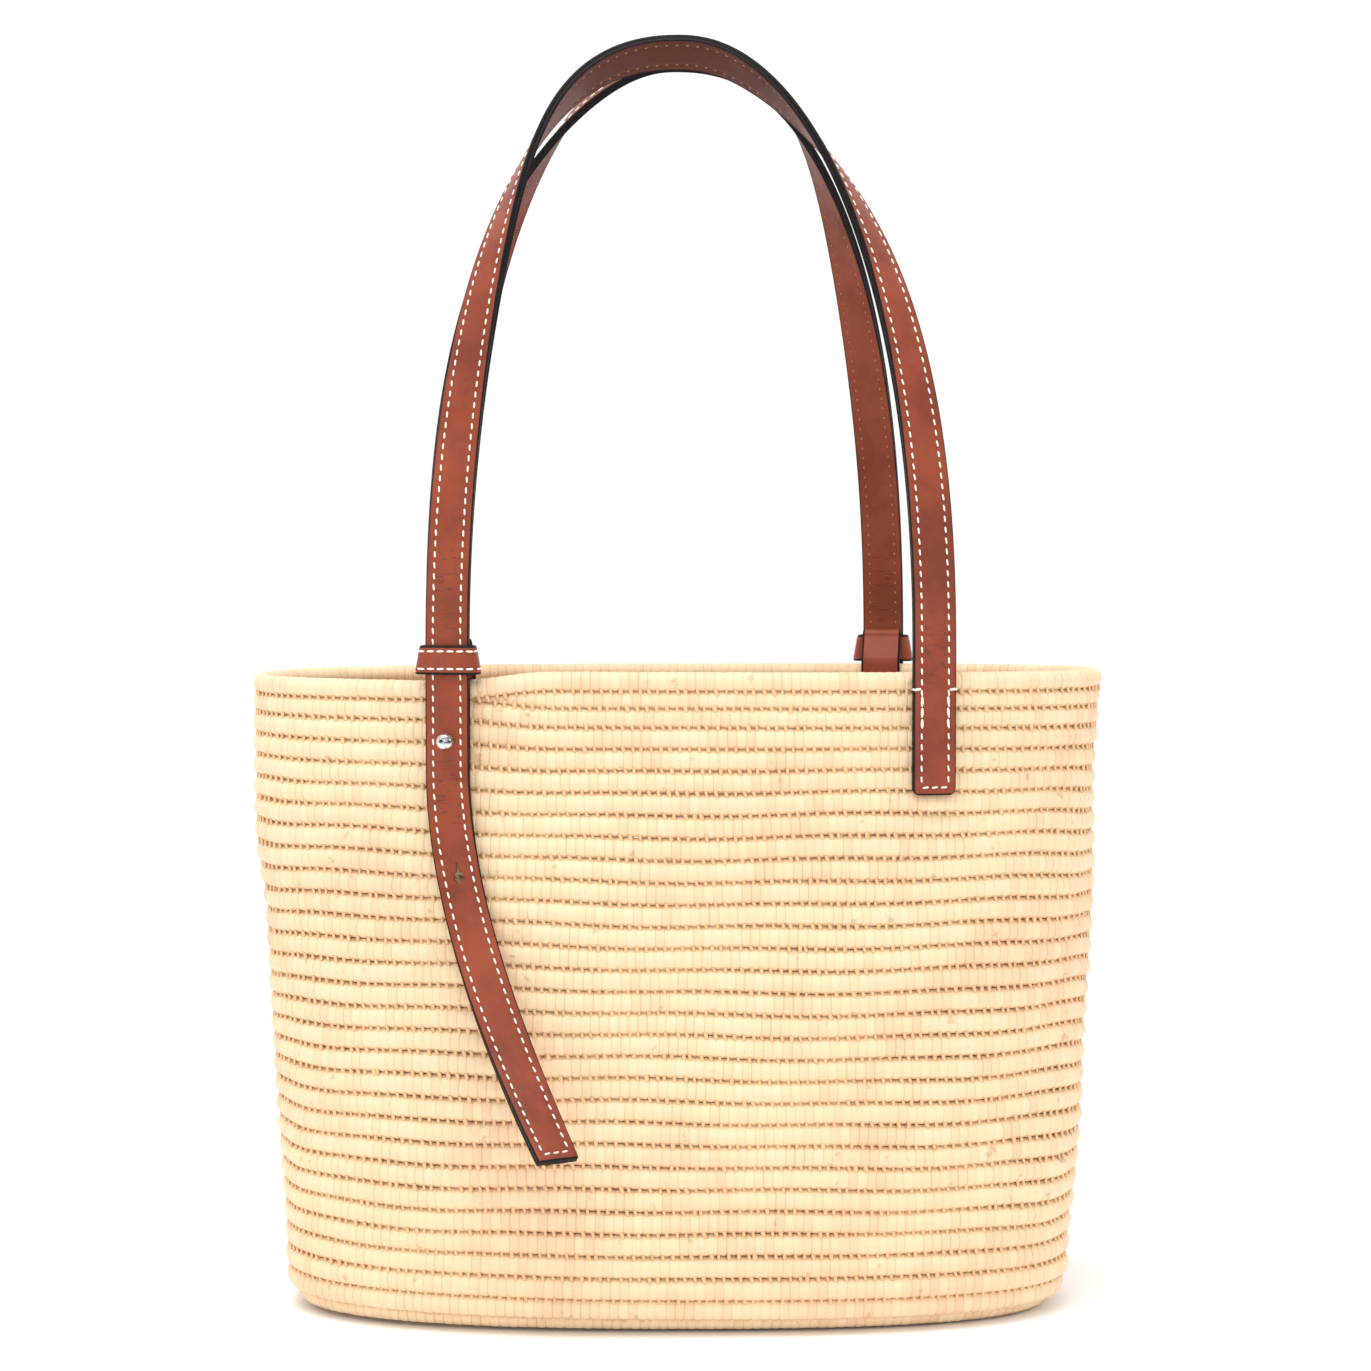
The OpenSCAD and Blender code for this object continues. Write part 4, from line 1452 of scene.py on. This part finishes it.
@dataclass
class Seam:
    """Rows of stitches, gathered as points and laid by one tree."""

    tree: GeometryTree
    side: Side
    points: list[np.ndarray] = field(default_factory=list)
    along: list[np.ndarray] = field(default_factory=list)
    outward: list[np.ndarray] = field(default_factory=list)
    girth: list[np.ndarray] = field(default_factory=list)

    def add(self, points: np.ndarray, along: np.ndarray, outward: np.ndarray,
            girth: float = 1.0) -> None:
        """Adds stitches.

        Args:
            points: where they lie.
            along: their direction, or one for each.
            outward: the way they face, or one for each.
            girth: their share of the full size.
        """
        self.points.append(points)
        self.along.append(np.broadcast_to(along, points.shape))
        self.outward.append(np.broadcast_to(outward, points.shape))
        self.girth.append(np.full(len(points), girth))

    def row(self, ribbon: Ribbon, run: np.ndarray, across: float, out: float,
            girth: float = 1.0) -> None:
        """Adds stitches along a ribbon, at distances along it."""
        self.add(*ribbon.at(run, across, out), girth)

    def lay(self, name: str, material: bpy.types.Material, half: tuple[float, float, float],
            slant: float, seed: int) -> bpy.types.Object:
        """Makes the stitches.

        Args:
            name: name of the piece.
            material: the thread.
            half: half length, half width and half depth of a stitch.
            slant: slant of a stitch off its row, in radians.
            seed: start of the random slants.

        Returns:
            The piece.
        """
        turned = [self.side.turned(np.concatenate(rows))
                  for rows in (self.points, self.along, self.outward)]
        source = mesh_object(name + "_points", turned[0], [], values={
            "along": turned[1], "outward": turned[2], "girth": np.concatenate(self.girth)})
        return self.tree.grow(name, source, {
            "Half Length": half[0], "Half Width": half[1], "Half Depth": half[2], "Slant": slant,
            "Spread": 0.05, "Seed": seed, "Material": material})


@dataclass
class SideMaker:
    """What every maker of one side's pieces works with."""

    s: StrapShape
    side: Side
    finishes: Finishes
    stitches: GeometryTree

    def name(self, word: str) -> str:
        """A piece's name on this side."""
        return f"{self.side.value}_{word}"


@dataclass
class Strap(SideMaker):
    """One shoulder strap with its sewn end, neck, tail and stitching."""

    step: float = 0.0023
    fold_room: float = 0.012
    lift_room: float = 0.0056
    tail_corner_r: float = 0.0006
    rim_crease: tuple[float, float] = (-0.028, 0.006)
    foot_crease: tuple[float, float] = (0.004, 0.055)
    tail_crease: tuple[float, float] = (-0.01, 0.03)
    backs_until: float = 0.06
    tack_below: float = 0.0038
    tack_in: float = 0.0014
    tack_rise: float = 0.00012
    tack_step: float = 0.0048
    slit_l: float = 0.0045
    slit_half_w: float = 0.0003
    hole_sides: int = 24

    def seam_runs(self, total: float) -> np.ndarray:
        """Places of a seam's stitches, counted from the strap's free end.

        Args:
            total: length of the strap.

        Returns:
            Distances along it.
        """
        s = self.s
        first = s.seam_inset + 0.75 * s.stitch_pitch
        return total - np.arange(first, total - 0.001, s.stitch_pitch)

    def end_row(self, seam: Seam, ribbon: Ribbon, out: float) -> None:
        """The stitches across the strap's free end.

        Args:
            seam: what they are added to.
            ribbon: the strap's middle line.
            out: how far out they lie.
        """
        s = self.s
        total = ribbon.run[-1]
        for k in (-1, 0, 1):
            run = np.array([total - s.seam_inset])
            spot, along, outward = ribbon.at(run, k * s.end_pitch * s.stitch_pitch, out)
            seam.add(spot, np.cross(along, outward), outward)

    def tack(self, seam: Seam, ribbon: Ribbon) -> None:
        """The bar tacks that hold the sewn end to the rim, with the heavier stitches under them.

        Args:
            seam: what they are added to.
            ribbon: the strap's middle line.
        """
        s = self.s
        out = s.thick / 2 + self.tack_rise
        run = np.array([ribbon.run[-1] - s.sewn_drop + self.tack_below])
        for k in (-1, 1):
            spot, along, outward = ribbon.at(run, k * (s.width / 2 - self.tack_in), out)
            seam.add(spot, np.cross(along, outward), outward, 1.25)
            spot, along, outward = ribbon.at(run, k * (s.width / 2 + 0.0001), s.thick * 0.2)
            seam.add(spot, outward, np.cross(along, outward) * k)
            lower = run + np.arange(1, 4) * self.tack_step
            seam.row(ribbon, lower, k * (s.seam - 0.0002), out, 1.35)

    def build_run(self, word: str, ribbon: Ribbon, corner: float,
                  creases: list[tuple[float, float]], tacks: bool) -> list[bpy.types.Object]:
        """The two layers of one stretch of strap, and its stitches on both faces.

        Args:
            word: the stretch's own word in its pieces' names.
            ribbon: its middle line, which ends at the free end.
            corner: radius of the free end's corners.
            creases: creased stretches of the run.
            tacks: whether bar tacks hold it to the rim.

        Returns:
            Face, lining, stitches and the stitches' undersides.
        """
        s, side = self.s, self.side
        face = LayerMaker(s, self.finishes.leather, self.finishes.paint).build(
            self.name(word + "_outer"), ribbon, side, 1, corner, creases)
        lining = LayerMaker(s, self.finishes.lining, self.finishes.paint).build(
            self.name(word + "_inner"), ribbon, side, -1, corner, creases)
        seam, under = Seam(self.stitches, side), Seam(self.stitches, side)
        half_t = s.thick / 2
        total = ribbon.run[-1]
        runs = self.seam_runs(total)
        top = half_t - SEAM_DIP + 0.5 * s.thread_r
        for across in (-s.seam, s.seam):
            seam.row(ribbon, runs, across, top)
            under.row(ribbon, runs[runs < total - self.backs_until], across, -half_t + 0.0002)
        self.end_row(seam, ribbon, top)
        if tacks:
            self.tack(seam, ribbon)
        thread = seam.lay(self.name(word + "_stitches"), self.finishes.thread, s.stitch_half,
                          0.09, 5)
        back = under.lay(self.name(word + "_stitch_backs"), self.finishes.back_thread,
                         (s.stitch_l * 0.22, s.thread_r, s.thread_r * 0.8), 0.0, 6)
        return [face, lining, thread, back]

    def build(self) -> None:
        """Makes both stretches, cuts the spare hole in the tail, and hides the frame's strap pieces
        they replace.
        """
        s = self.s
        arch = s.arch(self.step)
        rim_run = arch.run[-1] - s.sewn_drop
        creases = [(rim_run + self.rim_crease[0], rim_run + self.rim_crease[1]), self.foot_crease]
        swung = self.build_run("strap", arch, s.corner_r, creases, True)
        for piece in swung:
            self.name("handle")
            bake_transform(piece)
        tail = s.tail(self.step)
        bend_run = s.foot_z - s.tail_z
        creases = [(bend_run + self.tail_crease[0], bend_run + self.tail_crease[1])]
        hung = self.build_run("tail", tail, self.tail_corner_r, creases, False)
        self.cut_hole(hung[:2], tail)
        for piece in hung:
            self.name("tail")
            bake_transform(piece)
        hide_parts(self.name("strap_face"), self.name("sewn_end_face"))
        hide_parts(self.name("strap_lining"), self.name("sewn_end_lining"))
        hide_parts(self.name("end_stitches"))
        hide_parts(self.name("tail_face"), self.name("strap_neck_face"))
        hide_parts(self.name("tail_lining"), self.name("strap_neck_lining"))
        slots = ("strap_leather", "lining_leather", "thread", "thread")
        for piece, slot in zip(swung + hung, slots * 2):
            log.info("%s: %d faces", piece.name, len(piece.data.polygons))

    def cut_hole(self, layers: list[bpy.types.Object], tail: Ribbon) -> None:
        """Cuts the spare hole and its slit through both layers.

        Args:
            layers: face and lining.
            tail: the tail's middle line.
        """
        s = self.s
        run = np.interp(s.hole_step - s.stud_z, -tail.points[:, 2], tail.run)
        spot, along, outward = tail.at(np.array([run]), 0.0, 0.0)
        spot, along, outward = spot[0], along[0], outward[0]
        side = np.cross(along, outward)
        ring = []
        for k in range(self.hole_sides):
            angle = 2 * math.pi * k / self.hole_sides
            x, y = s.hole_r * math.sin(angle), s.hole_r * 1.05 * math.cos(angle)
            in_slit = abs(x) <= self.slit_half_w and y <= 0
            ring.append((x, -s.hole_r - self.slit_l if in_slit else y))
        points = [spot + side * x + along * y + outward * h
                  for h in (-s.thick, s.thick) for x, y in ring]
        count = len(ring)
        faces = [(k, (k + 1) % count, (k + 1) % count + count, k + count) for k in range(count)]
        faces += [tuple(range(count))[::-1], tuple(range(count, 2 * count))]
        cutter = mesh_object(self.name("hole_cutter"), self.side.turned(np.array(points)), faces)
        solid = bmesh.new()
        solid.from_mesh(cutter.data)
        bmesh.ops.recalc_face_normals(solid, faces=solid.faces)
        solid.to_mesh(cutter.data)
        solid.free()
        cutter.data.materials.append(self.finishes.paint)
        for layer in layers:
            cut = layer.modifiers.new("hole", "BOOLEAN")
            cut.operation, cut.solver, cut.object = "DIFFERENCE", "EXACT", cutter
            graph = bpy.context.evaluated_depsgraph_get()
            mesh = bpy.data.meshes.new_from_object(layer.evaluated_get(graph))
            layer.modifiers.clear()
            layer.data = mesh
            log.info("%s: hole cut, %d faces", layer.name, len(mesh.polygons))
        bpy.data.objects.remove(cutter)


# ---------------------------------------------------------------- keeper, tab, patch and stud


def band_section(height: float, thick: float) -> tuple[np.ndarray, np.ndarray, list[int]]:
    """Section of a leather band with rounded, painted edges.

    Args:
        height: height of the band.
        thick: its thickness.

    Returns:
        Heights, distances out, and the finish of each side of the section.
    """
    edge, proud = thick / 2, 1.04
    around = [math.radians(a) for a in range(0, 181, 18)]
    shares = (0.25, 0.5, 0.75)
    heights = [height - edge + edge * math.sin(a) for a in around]
    outs = [edge + edge * math.cos(a) for a in around]
    heights += [height * k for k in shares[::-1]]
    outs += [0.0] * len(shares)
    heights += [edge - edge * math.sin(a) for a in around]
    outs += [edge - edge * math.cos(a) for a in around]
    heights += [height * k for k in shares]
    outs += [thick * proud] * len(shares)
    finish = ([1] * (len(around) - 1) + [0] * (len(shares) + 1)) * 2
    return np.array(heights), np.array(outs), finish


def loft(name: str, rings: np.ndarray, finish: Sequence[int],
         materials: Sequence[bpy.types.Material], closed: bool) -> bpy.types.Object:
    """A skin through rings of points.

    Args:
        name: name of the piece.
        rings: rings by points by three.
        finish: slot of each side of a ring.
        materials: the slots.
        closed: whether the last ring joins the first; otherwise both ends are capped.

    Returns:
        The piece.
    """
    many, count = rings.shape[:2]
    faces, slots = [], []
    for i in range(many if closed else many - 1):
        for k in range(count):
            a, b = i * count + k, i * count + (k + 1) % count
            c, d = (i + 1) % many * count + (k + 1) % count, (i + 1) % many * count + k
            faces.append((a, b, c, d))
            slots.append(finish[k])
    if not closed:
        last = (many - 1) * count
        faces += [tuple(range(count))[::-1], tuple(range(last, last + count))]
        slots += [1, 1]
    flat = rings.reshape(-1, 3)
    blank = np.zeros(len(flat))
    # Blank attributes: these pieces have no creases and no painted shade.
    return mesh_object(name, flat, faces, materials, slots,
                       values={"run": blank, "across": blank, "crease": blank, "apex_shade": blank})


def rounded_line(wide: float, deep: float, corner: float) -> tuple[np.ndarray, np.ndarray]:
    """A line round an oblong with rounded corners.

    Args:
        wide: its size in x.
        deep: its size in y.
        corner: radius of its corners.

    Returns:
        Places and outward directions, both flat.
    """
    centres = [np.array([sx * (wide / 2 - corner), sy * (deep / 2 - corner)])
               for sx, sy in ((1, 1), (-1, 1), (-1, -1), (1, -1))]
    line, ways = [], []
    for number, centre in enumerate(centres):
        for k in range(9):
            angle = math.radians(90 * number + k * 90 / 8)
            way = np.array([math.cos(angle), math.sin(angle)])
            line.append(centre + way * corner)
            ways.append(way)
        here, there = line[-1], centres[(number + 1) % 4] + way * corner
        for k in range(1, 8):
            line.append(here + (there - here) * k / 8)
            ways.append(way)
    return np.array(line), np.array(ways)


@dataclass
class Fittings(SideMaker):
    """What holds one strap to the bag: keeper, anchor tab, stud, screw and inner patch."""

    keeper_corner_r: float = 0.0022
    swell: float = 0.0022
    crown: float = 0.00035
    thread_rise: float = 0.0001
    splay_h: float = 0.0006
    collar_t: float = 0.0009
    collar_edge: float = 0.0002
    ball_seat: float = 0.85
    lathe_sides: int = 40

    def place(self, x: float, along: np.ndarray, out: np.ndarray, z: np.ndarray) -> np.ndarray:
        """Points by their distance along the wall, out from it, and height, on this side.

        Args:
            x: where on the front wall the fitting sits.
            along: distances along the wall.
            out: distances out from its face.
            z: heights.

        Returns:
            The points.
        """
        g = self.s.shape
        spots = (g.off_wall(x, 0.0) + along[..., None] * g.wall_along(x)
                 + out[..., None] * g.wall_out(x) + z[..., None] * UP)
        return self.side.turned(spots)

    def dress(self, piece: bpy.types.Object, slot: str, *nodes: str) -> None:
        """Hands a piece to the frame in place of its nodes.

        Args:
            piece: the finished piece.
            slot: word for its finish; not used.
            nodes: the nodes it replaces on this side, without the side's word.
        """
        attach(piece, "basket")
        if nodes:
            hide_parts(*(self.name(n) for n in nodes))
        log.info("%s: %d faces", piece.name, len(piece.data.polygons))

    def build_keeper(self) -> None:
        """The stitched loop round the strap and the tab."""
        s = self.s
        depth, wide = s.keeper_out, s.width + 2 * s.keeper_room
        heights, outs, finish = band_section(s.keeper_h, s.keeper_t)
        line, ways = rounded_line(wide, depth, self.keeper_corner_r)
        crown = self.crown * (1 - (2 * line[:, 0] / wide) ** 2) * (ways[:, 1] > 0.99)
        spread = line[:, None, :] + ways[:, None, :] * (outs[None, :, None] + crown[:, None, None])
        spread[..., 0] += ways[:, :1] * self.swell * (0.5 - heights / s.keeper_h)
        z = np.broadcast_to(s.keeper_z + heights, spread.shape[:2])
        rings = self.place(-s.adjust_x, spread[..., 0], depth / 2 + spread[..., 1], z)
        piece = loft(self.name("keeper_loop"), rings, finish,
                     [self.finishes.leather, self.finishes.paint], True)
        self.dress(piece, "strap_leather", "keeper")
        seam = Seam(self.stitches, Side.FRONT)
        tangent = self.side.turned(s.shape.wall_along(-s.adjust_x))
        face = self.side.turned(s.shape.wall_out(-s.adjust_x))
        for share in (0.2, 0.8):
            at = np.arange(-2.5, 3) * s.stitch_pitch * 0.92
            z = np.full(len(at), s.keeper_z + s.keeper_h * share)
            lift = self.crown * (1 - (2 * at / wide) ** 2)
            out = s.keeper_out + s.keeper_t + lift + self.thread_rise
            seam.add(self.place(-s.adjust_x, at, out, z), tangent, face)
            edge = wide / 2 + s.keeper_t + self.swell * (0.5 - share) + self.thread_rise
            for k in (-1, 1):
                for deep in (0.0028, 0.0064):
                    spot = self.place(-s.adjust_x, np.array([k * edge]), np.array([deep]), z[:1])
                    seam.add(spot, face, tangent * k)
        thread = seam.lay(self.name("keeper_thread"), self.finishes.thread,
                          (s.stitch_l * 0.58, s.thread_r * 1.15, s.thread_r), 0.0, 8)
        self.dress(thread, "thread", "keeper_stitches")

    def build_tab(self) -> None:
        """The tab that folds over the keeper's inner band and the rim."""
        s, g = self.s, self.s.shape
        low = s.tail_z + s.thick
        fold_r = s.keeper_t / 2 + s.lay_gap
        band = -s.keeper_t / 2
        bend = s.keeper_z + s.keeper_h - s.keeper_t / 4
        inner = -g.wall_t - s.lay_gap - s.tab_t / 2
        splay = s.keeper_z + self.splay_h
        middle = fold_r + s.tab_t / 2
        arc = [math.radians(a) for a in range(0, 181, 12)]
        line = [(s.lay_gap + s.tab_t / 2, z) for z in np.linspace(low, bend, 20)]
        line += [(band + middle * math.cos(a), bend + middle * math.sin(a)) for a in arc[1:]]
        last = line[-1]
        line += [(last[0] + (inner - last[0]) * t, last[1] + (splay - last[1]) * t)
                 for t in np.linspace(0.1, 1, 8)]
        line += [(inner, z) for z in np.linspace(splay, low, 20)[1:]]
        line = np.array(line)
        away = tangents(line)
        normal = np.stack([away[:, 1], -away[:, 0]], axis=1)
        heights, outs, finish = band_section(s.tab_w, s.tab_t)
        across = heights - s.tab_w / 2
        lift = outs - s.tab_t / 2
        spots = line[:, None, :] + normal[:, None, :] * lift[None, :, None]
        along = np.broadcast_to(across, spots.shape[:2])
        rings = self.place(-s.adjust_x, along, spots[..., 0], spots[..., 1])
        piece = loft(self.name("tab_leather"), rings, finish,
                     [self.finishes.leather, self.finishes.paint], False)
        self.dress(piece, "strap_leather", "anchor_tab")

    def build_patch(self) -> None:
        """The patch inside the wall behind the sewn end, with the seam's underside."""
        s, g = self.s, self.s.shape
        top, half_w = g.rim_low - g.coil_d, s.width / 2
        heights, outs, finish = band_section(s.width, s.leather_t)
        rows = np.concatenate([np.linspace(top, s.sewn_end_z + s.corner_r, 12),
                               s.sewn_end_z + s.corner_r * (1 - np.sin(np.linspace(0.2, 1.45, 8)))])
        left = rows - s.sewn_end_z
        bow = np.sqrt(np.maximum(s.corner_r ** 2 - (s.corner_r - left) ** 2, 0))
        edge = np.where(left < s.corner_r, half_w - s.corner_r + bow, half_w)
        along = (heights - half_w)[None, :] * (edge / half_w)[:, None]
        out = np.broadcast_to(-g.wall_t - s.lay_gap - s.leather_t + outs, along.shape)
        z = np.broadcast_to(rows[:, None], along.shape)
        rings = self.place(s.sewn_x, along, out, z)
        piece = loft(self.name("patch_leather"), rings, finish,
                     [self.finishes.lining, self.finishes.paint], False)
        self.dress(piece, "lining_leather", "end_patch")
        seam = Seam(self.stitches, Side.FRONT)
        tangent = self.side.turned(g.wall_along(s.sewn_x))
        inward = -self.side.turned(g.wall_out(s.sewn_x))
        deep = -g.wall_t - s.lay_gap - s.leather_t - self.thread_rise
        low = s.sewn_end_z + s.seam_inset
        z = np.arange(low + 0.6 * s.stitch_pitch, top - 0.001, s.stitch_pitch)
        for k in (-1, 1):
            at = np.full(len(z), k * s.seam)
            seam.add(self.place(s.sewn_x, at, np.full(len(z), deep), z), UP, inward)
        at = np.array([-1.0, 0.0, 1.0]) * s.stitch_pitch * s.end_pitch
        seam.add(self.place(s.sewn_x, at, np.full(3, deep), np.full(3, low)), tangent, inward)
        thread = seam.lay(self.name("patch_thread"), self.finishes.thread, s.stitch_half, 0.0, 9)
        self.dress(thread, "thread")

    def build_stud(self) -> None:
        """The round-headed stud, turned on a lathe."""
        s = self.s
        start = s.lay_gap + s.tab_t + 0.00005
        centre = s.keeper_out + s.ball_r * self.ball_seat
        neck_end = math.sqrt(s.ball_r ** 2 - s.neck_r ** 2)
        begin = math.atan2(s.neck_r, -neck_end)
        ball = [(centre + s.ball_r * math.cos(a), s.ball_r * math.sin(a))
                for a in np.linspace(begin, 0.03, 26)]
        inner_r, stop = s.collar_r - self.collar_edge, start + self.collar_t + self.collar_edge
        collar = [(start, 0.0005), (start, inner_r), (start + self.collar_edge, s.collar_r),
                  (start + self.collar_t, s.collar_r), (stop, inner_r)]
        neck = [(stop, s.neck_r), (centre - neck_end - 0.0001, s.neck_r)]
        angle = 2 * math.pi * np.arange(self.lathe_sides) / self.lathe_sides
        line = np.array(collar + neck + ball)
        along = line[:, 1][:, None] * np.cos(angle)
        z = s.stud_z + line[:, 1][:, None] * np.sin(angle)
        out = np.broadcast_to(line[:, 0][:, None], along.shape)
        rings = self.place(-s.adjust_x, along, out, z)
        piece = loft(self.name("stud_turned"), rings, [0] * self.lathe_sides,
                     [self.finishes.steel] * 2, False)
        self.dress(piece, "polished_steel", "stud")

    def build(self) -> None:
        """Makes every fitting of this side."""
        self.build_keeper()
        self.build_tab()
        self.build_patch()
        self.build_stud()
        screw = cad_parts[self.name("stud_screw")]
        screw.data.materials.clear()
        screw.data.materials.append(self.finishes.steel)


# ---------------------------------------------------------------- the studio


@dataclass
class Studio:
    """Pale floor, white surroundings, soft lights and the camera."""

    eye: tuple[float, float, float] = (0.00362, -1.350, 0.3413)
    dip: float = 2.717
    lens: float = 79.09
    sensor: float = 36.0
    sky: float = 1.03
    reach: float = 12.0
    floor_drop: float = 0.0002

    def floor(self) -> None:
        """A pale floor, just under the bag."""
        s = Surface("studio_floor", {"Roughness": 0.9, "Specular IOR Level": 0.1})
        s.feed("Base Color", s.mix(s.noise(3.0), colour(0.985, 0.985, 0.985),
                                   colour(0.99, 0.99, 0.99)))
        corners = np.array([[-1, -1, 0], [1, -1, 0], [1, 1, 0], [-1, 1, 0]]) * self.reach
        ground = mesh_object("studio_floor", corners - UP * self.floor_drop, [(0, 1, 2, 3)],
                             [s.material])

    def light(self, name: str, place: tuple[float, float, float], aim: tuple[float, float, float],
              size: float, power: float) -> None:
        """A square soft light.

        Args:
            name: its name.
            place: where it hangs.
            aim: what it points at.
            size: length of its side.
            power: watts.
        """
        lamp = bpy.data.lights.new(name, "AREA")
        lamp.shape, lamp.size, lamp.energy = "SQUARE", size, power
        holder = bpy.data.objects.new(name, lamp)
        holder.location = place
        way = Vector(aim) - Vector(place)
        holder.rotation_euler = way.to_track_quat("-Z", "Y").to_euler()
        bpy.context.scene.collection.objects.link(holder)

    def build(self) -> None:
        """Sets up the studio and the camera."""
        scene = bpy.context.scene
        world = bpy.data.worlds.new("studio")
        world.use_nodes = True
        sky = next(n for n in world.node_tree.nodes if n.type == "BACKGROUND")
        sky.inputs["Color"].default_value = colour(1.0, 1.0, 1.0)
        sky.inputs["Strength"].default_value = self.sky
        scene.world = world
        scene.view_settings.view_transform = "Standard"
        self.floor()
        self.light("top_light", (-0.3, -0.5, 1.9), (0, 0, 0.2), 1.2, 20)
        self.light("front_light", (0.5, -2.2, 1.0), (0, 0, 0.25), 1.6, 3)
        optics = bpy.data.cameras.new("camera")
        optics.lens, optics.sensor_width, optics.sensor_fit = self.lens, self.sensor, "HORIZONTAL"
        camera = bpy.data.objects.new("camera", optics)
        camera.location = self.eye
        camera.rotation_euler = (math.radians(90 - self.dip), 0, 0)
        scene.collection.objects.link(camera)
        scene.camera = camera


def main() -> None:
    """Builds the studio, the basket, the straps and their fittings, in that order."""
    logging.basicConfig(level=logging.INFO, format="%(name)s: %(message)s")
    Studio().build()
    finishes = Finishes()
    shape = BasketShape()
    basket = Basket(shape, finishes)
    basket.dress(basket.build())
    sizes = StrapShape(shape)
    for side in Side:
        Strap(sizes, side, finishes, basket.stitches).build()
        Fittings(sizes, side, finishes, basket.stitches).build()


if __name__ == "__main__":
    main()
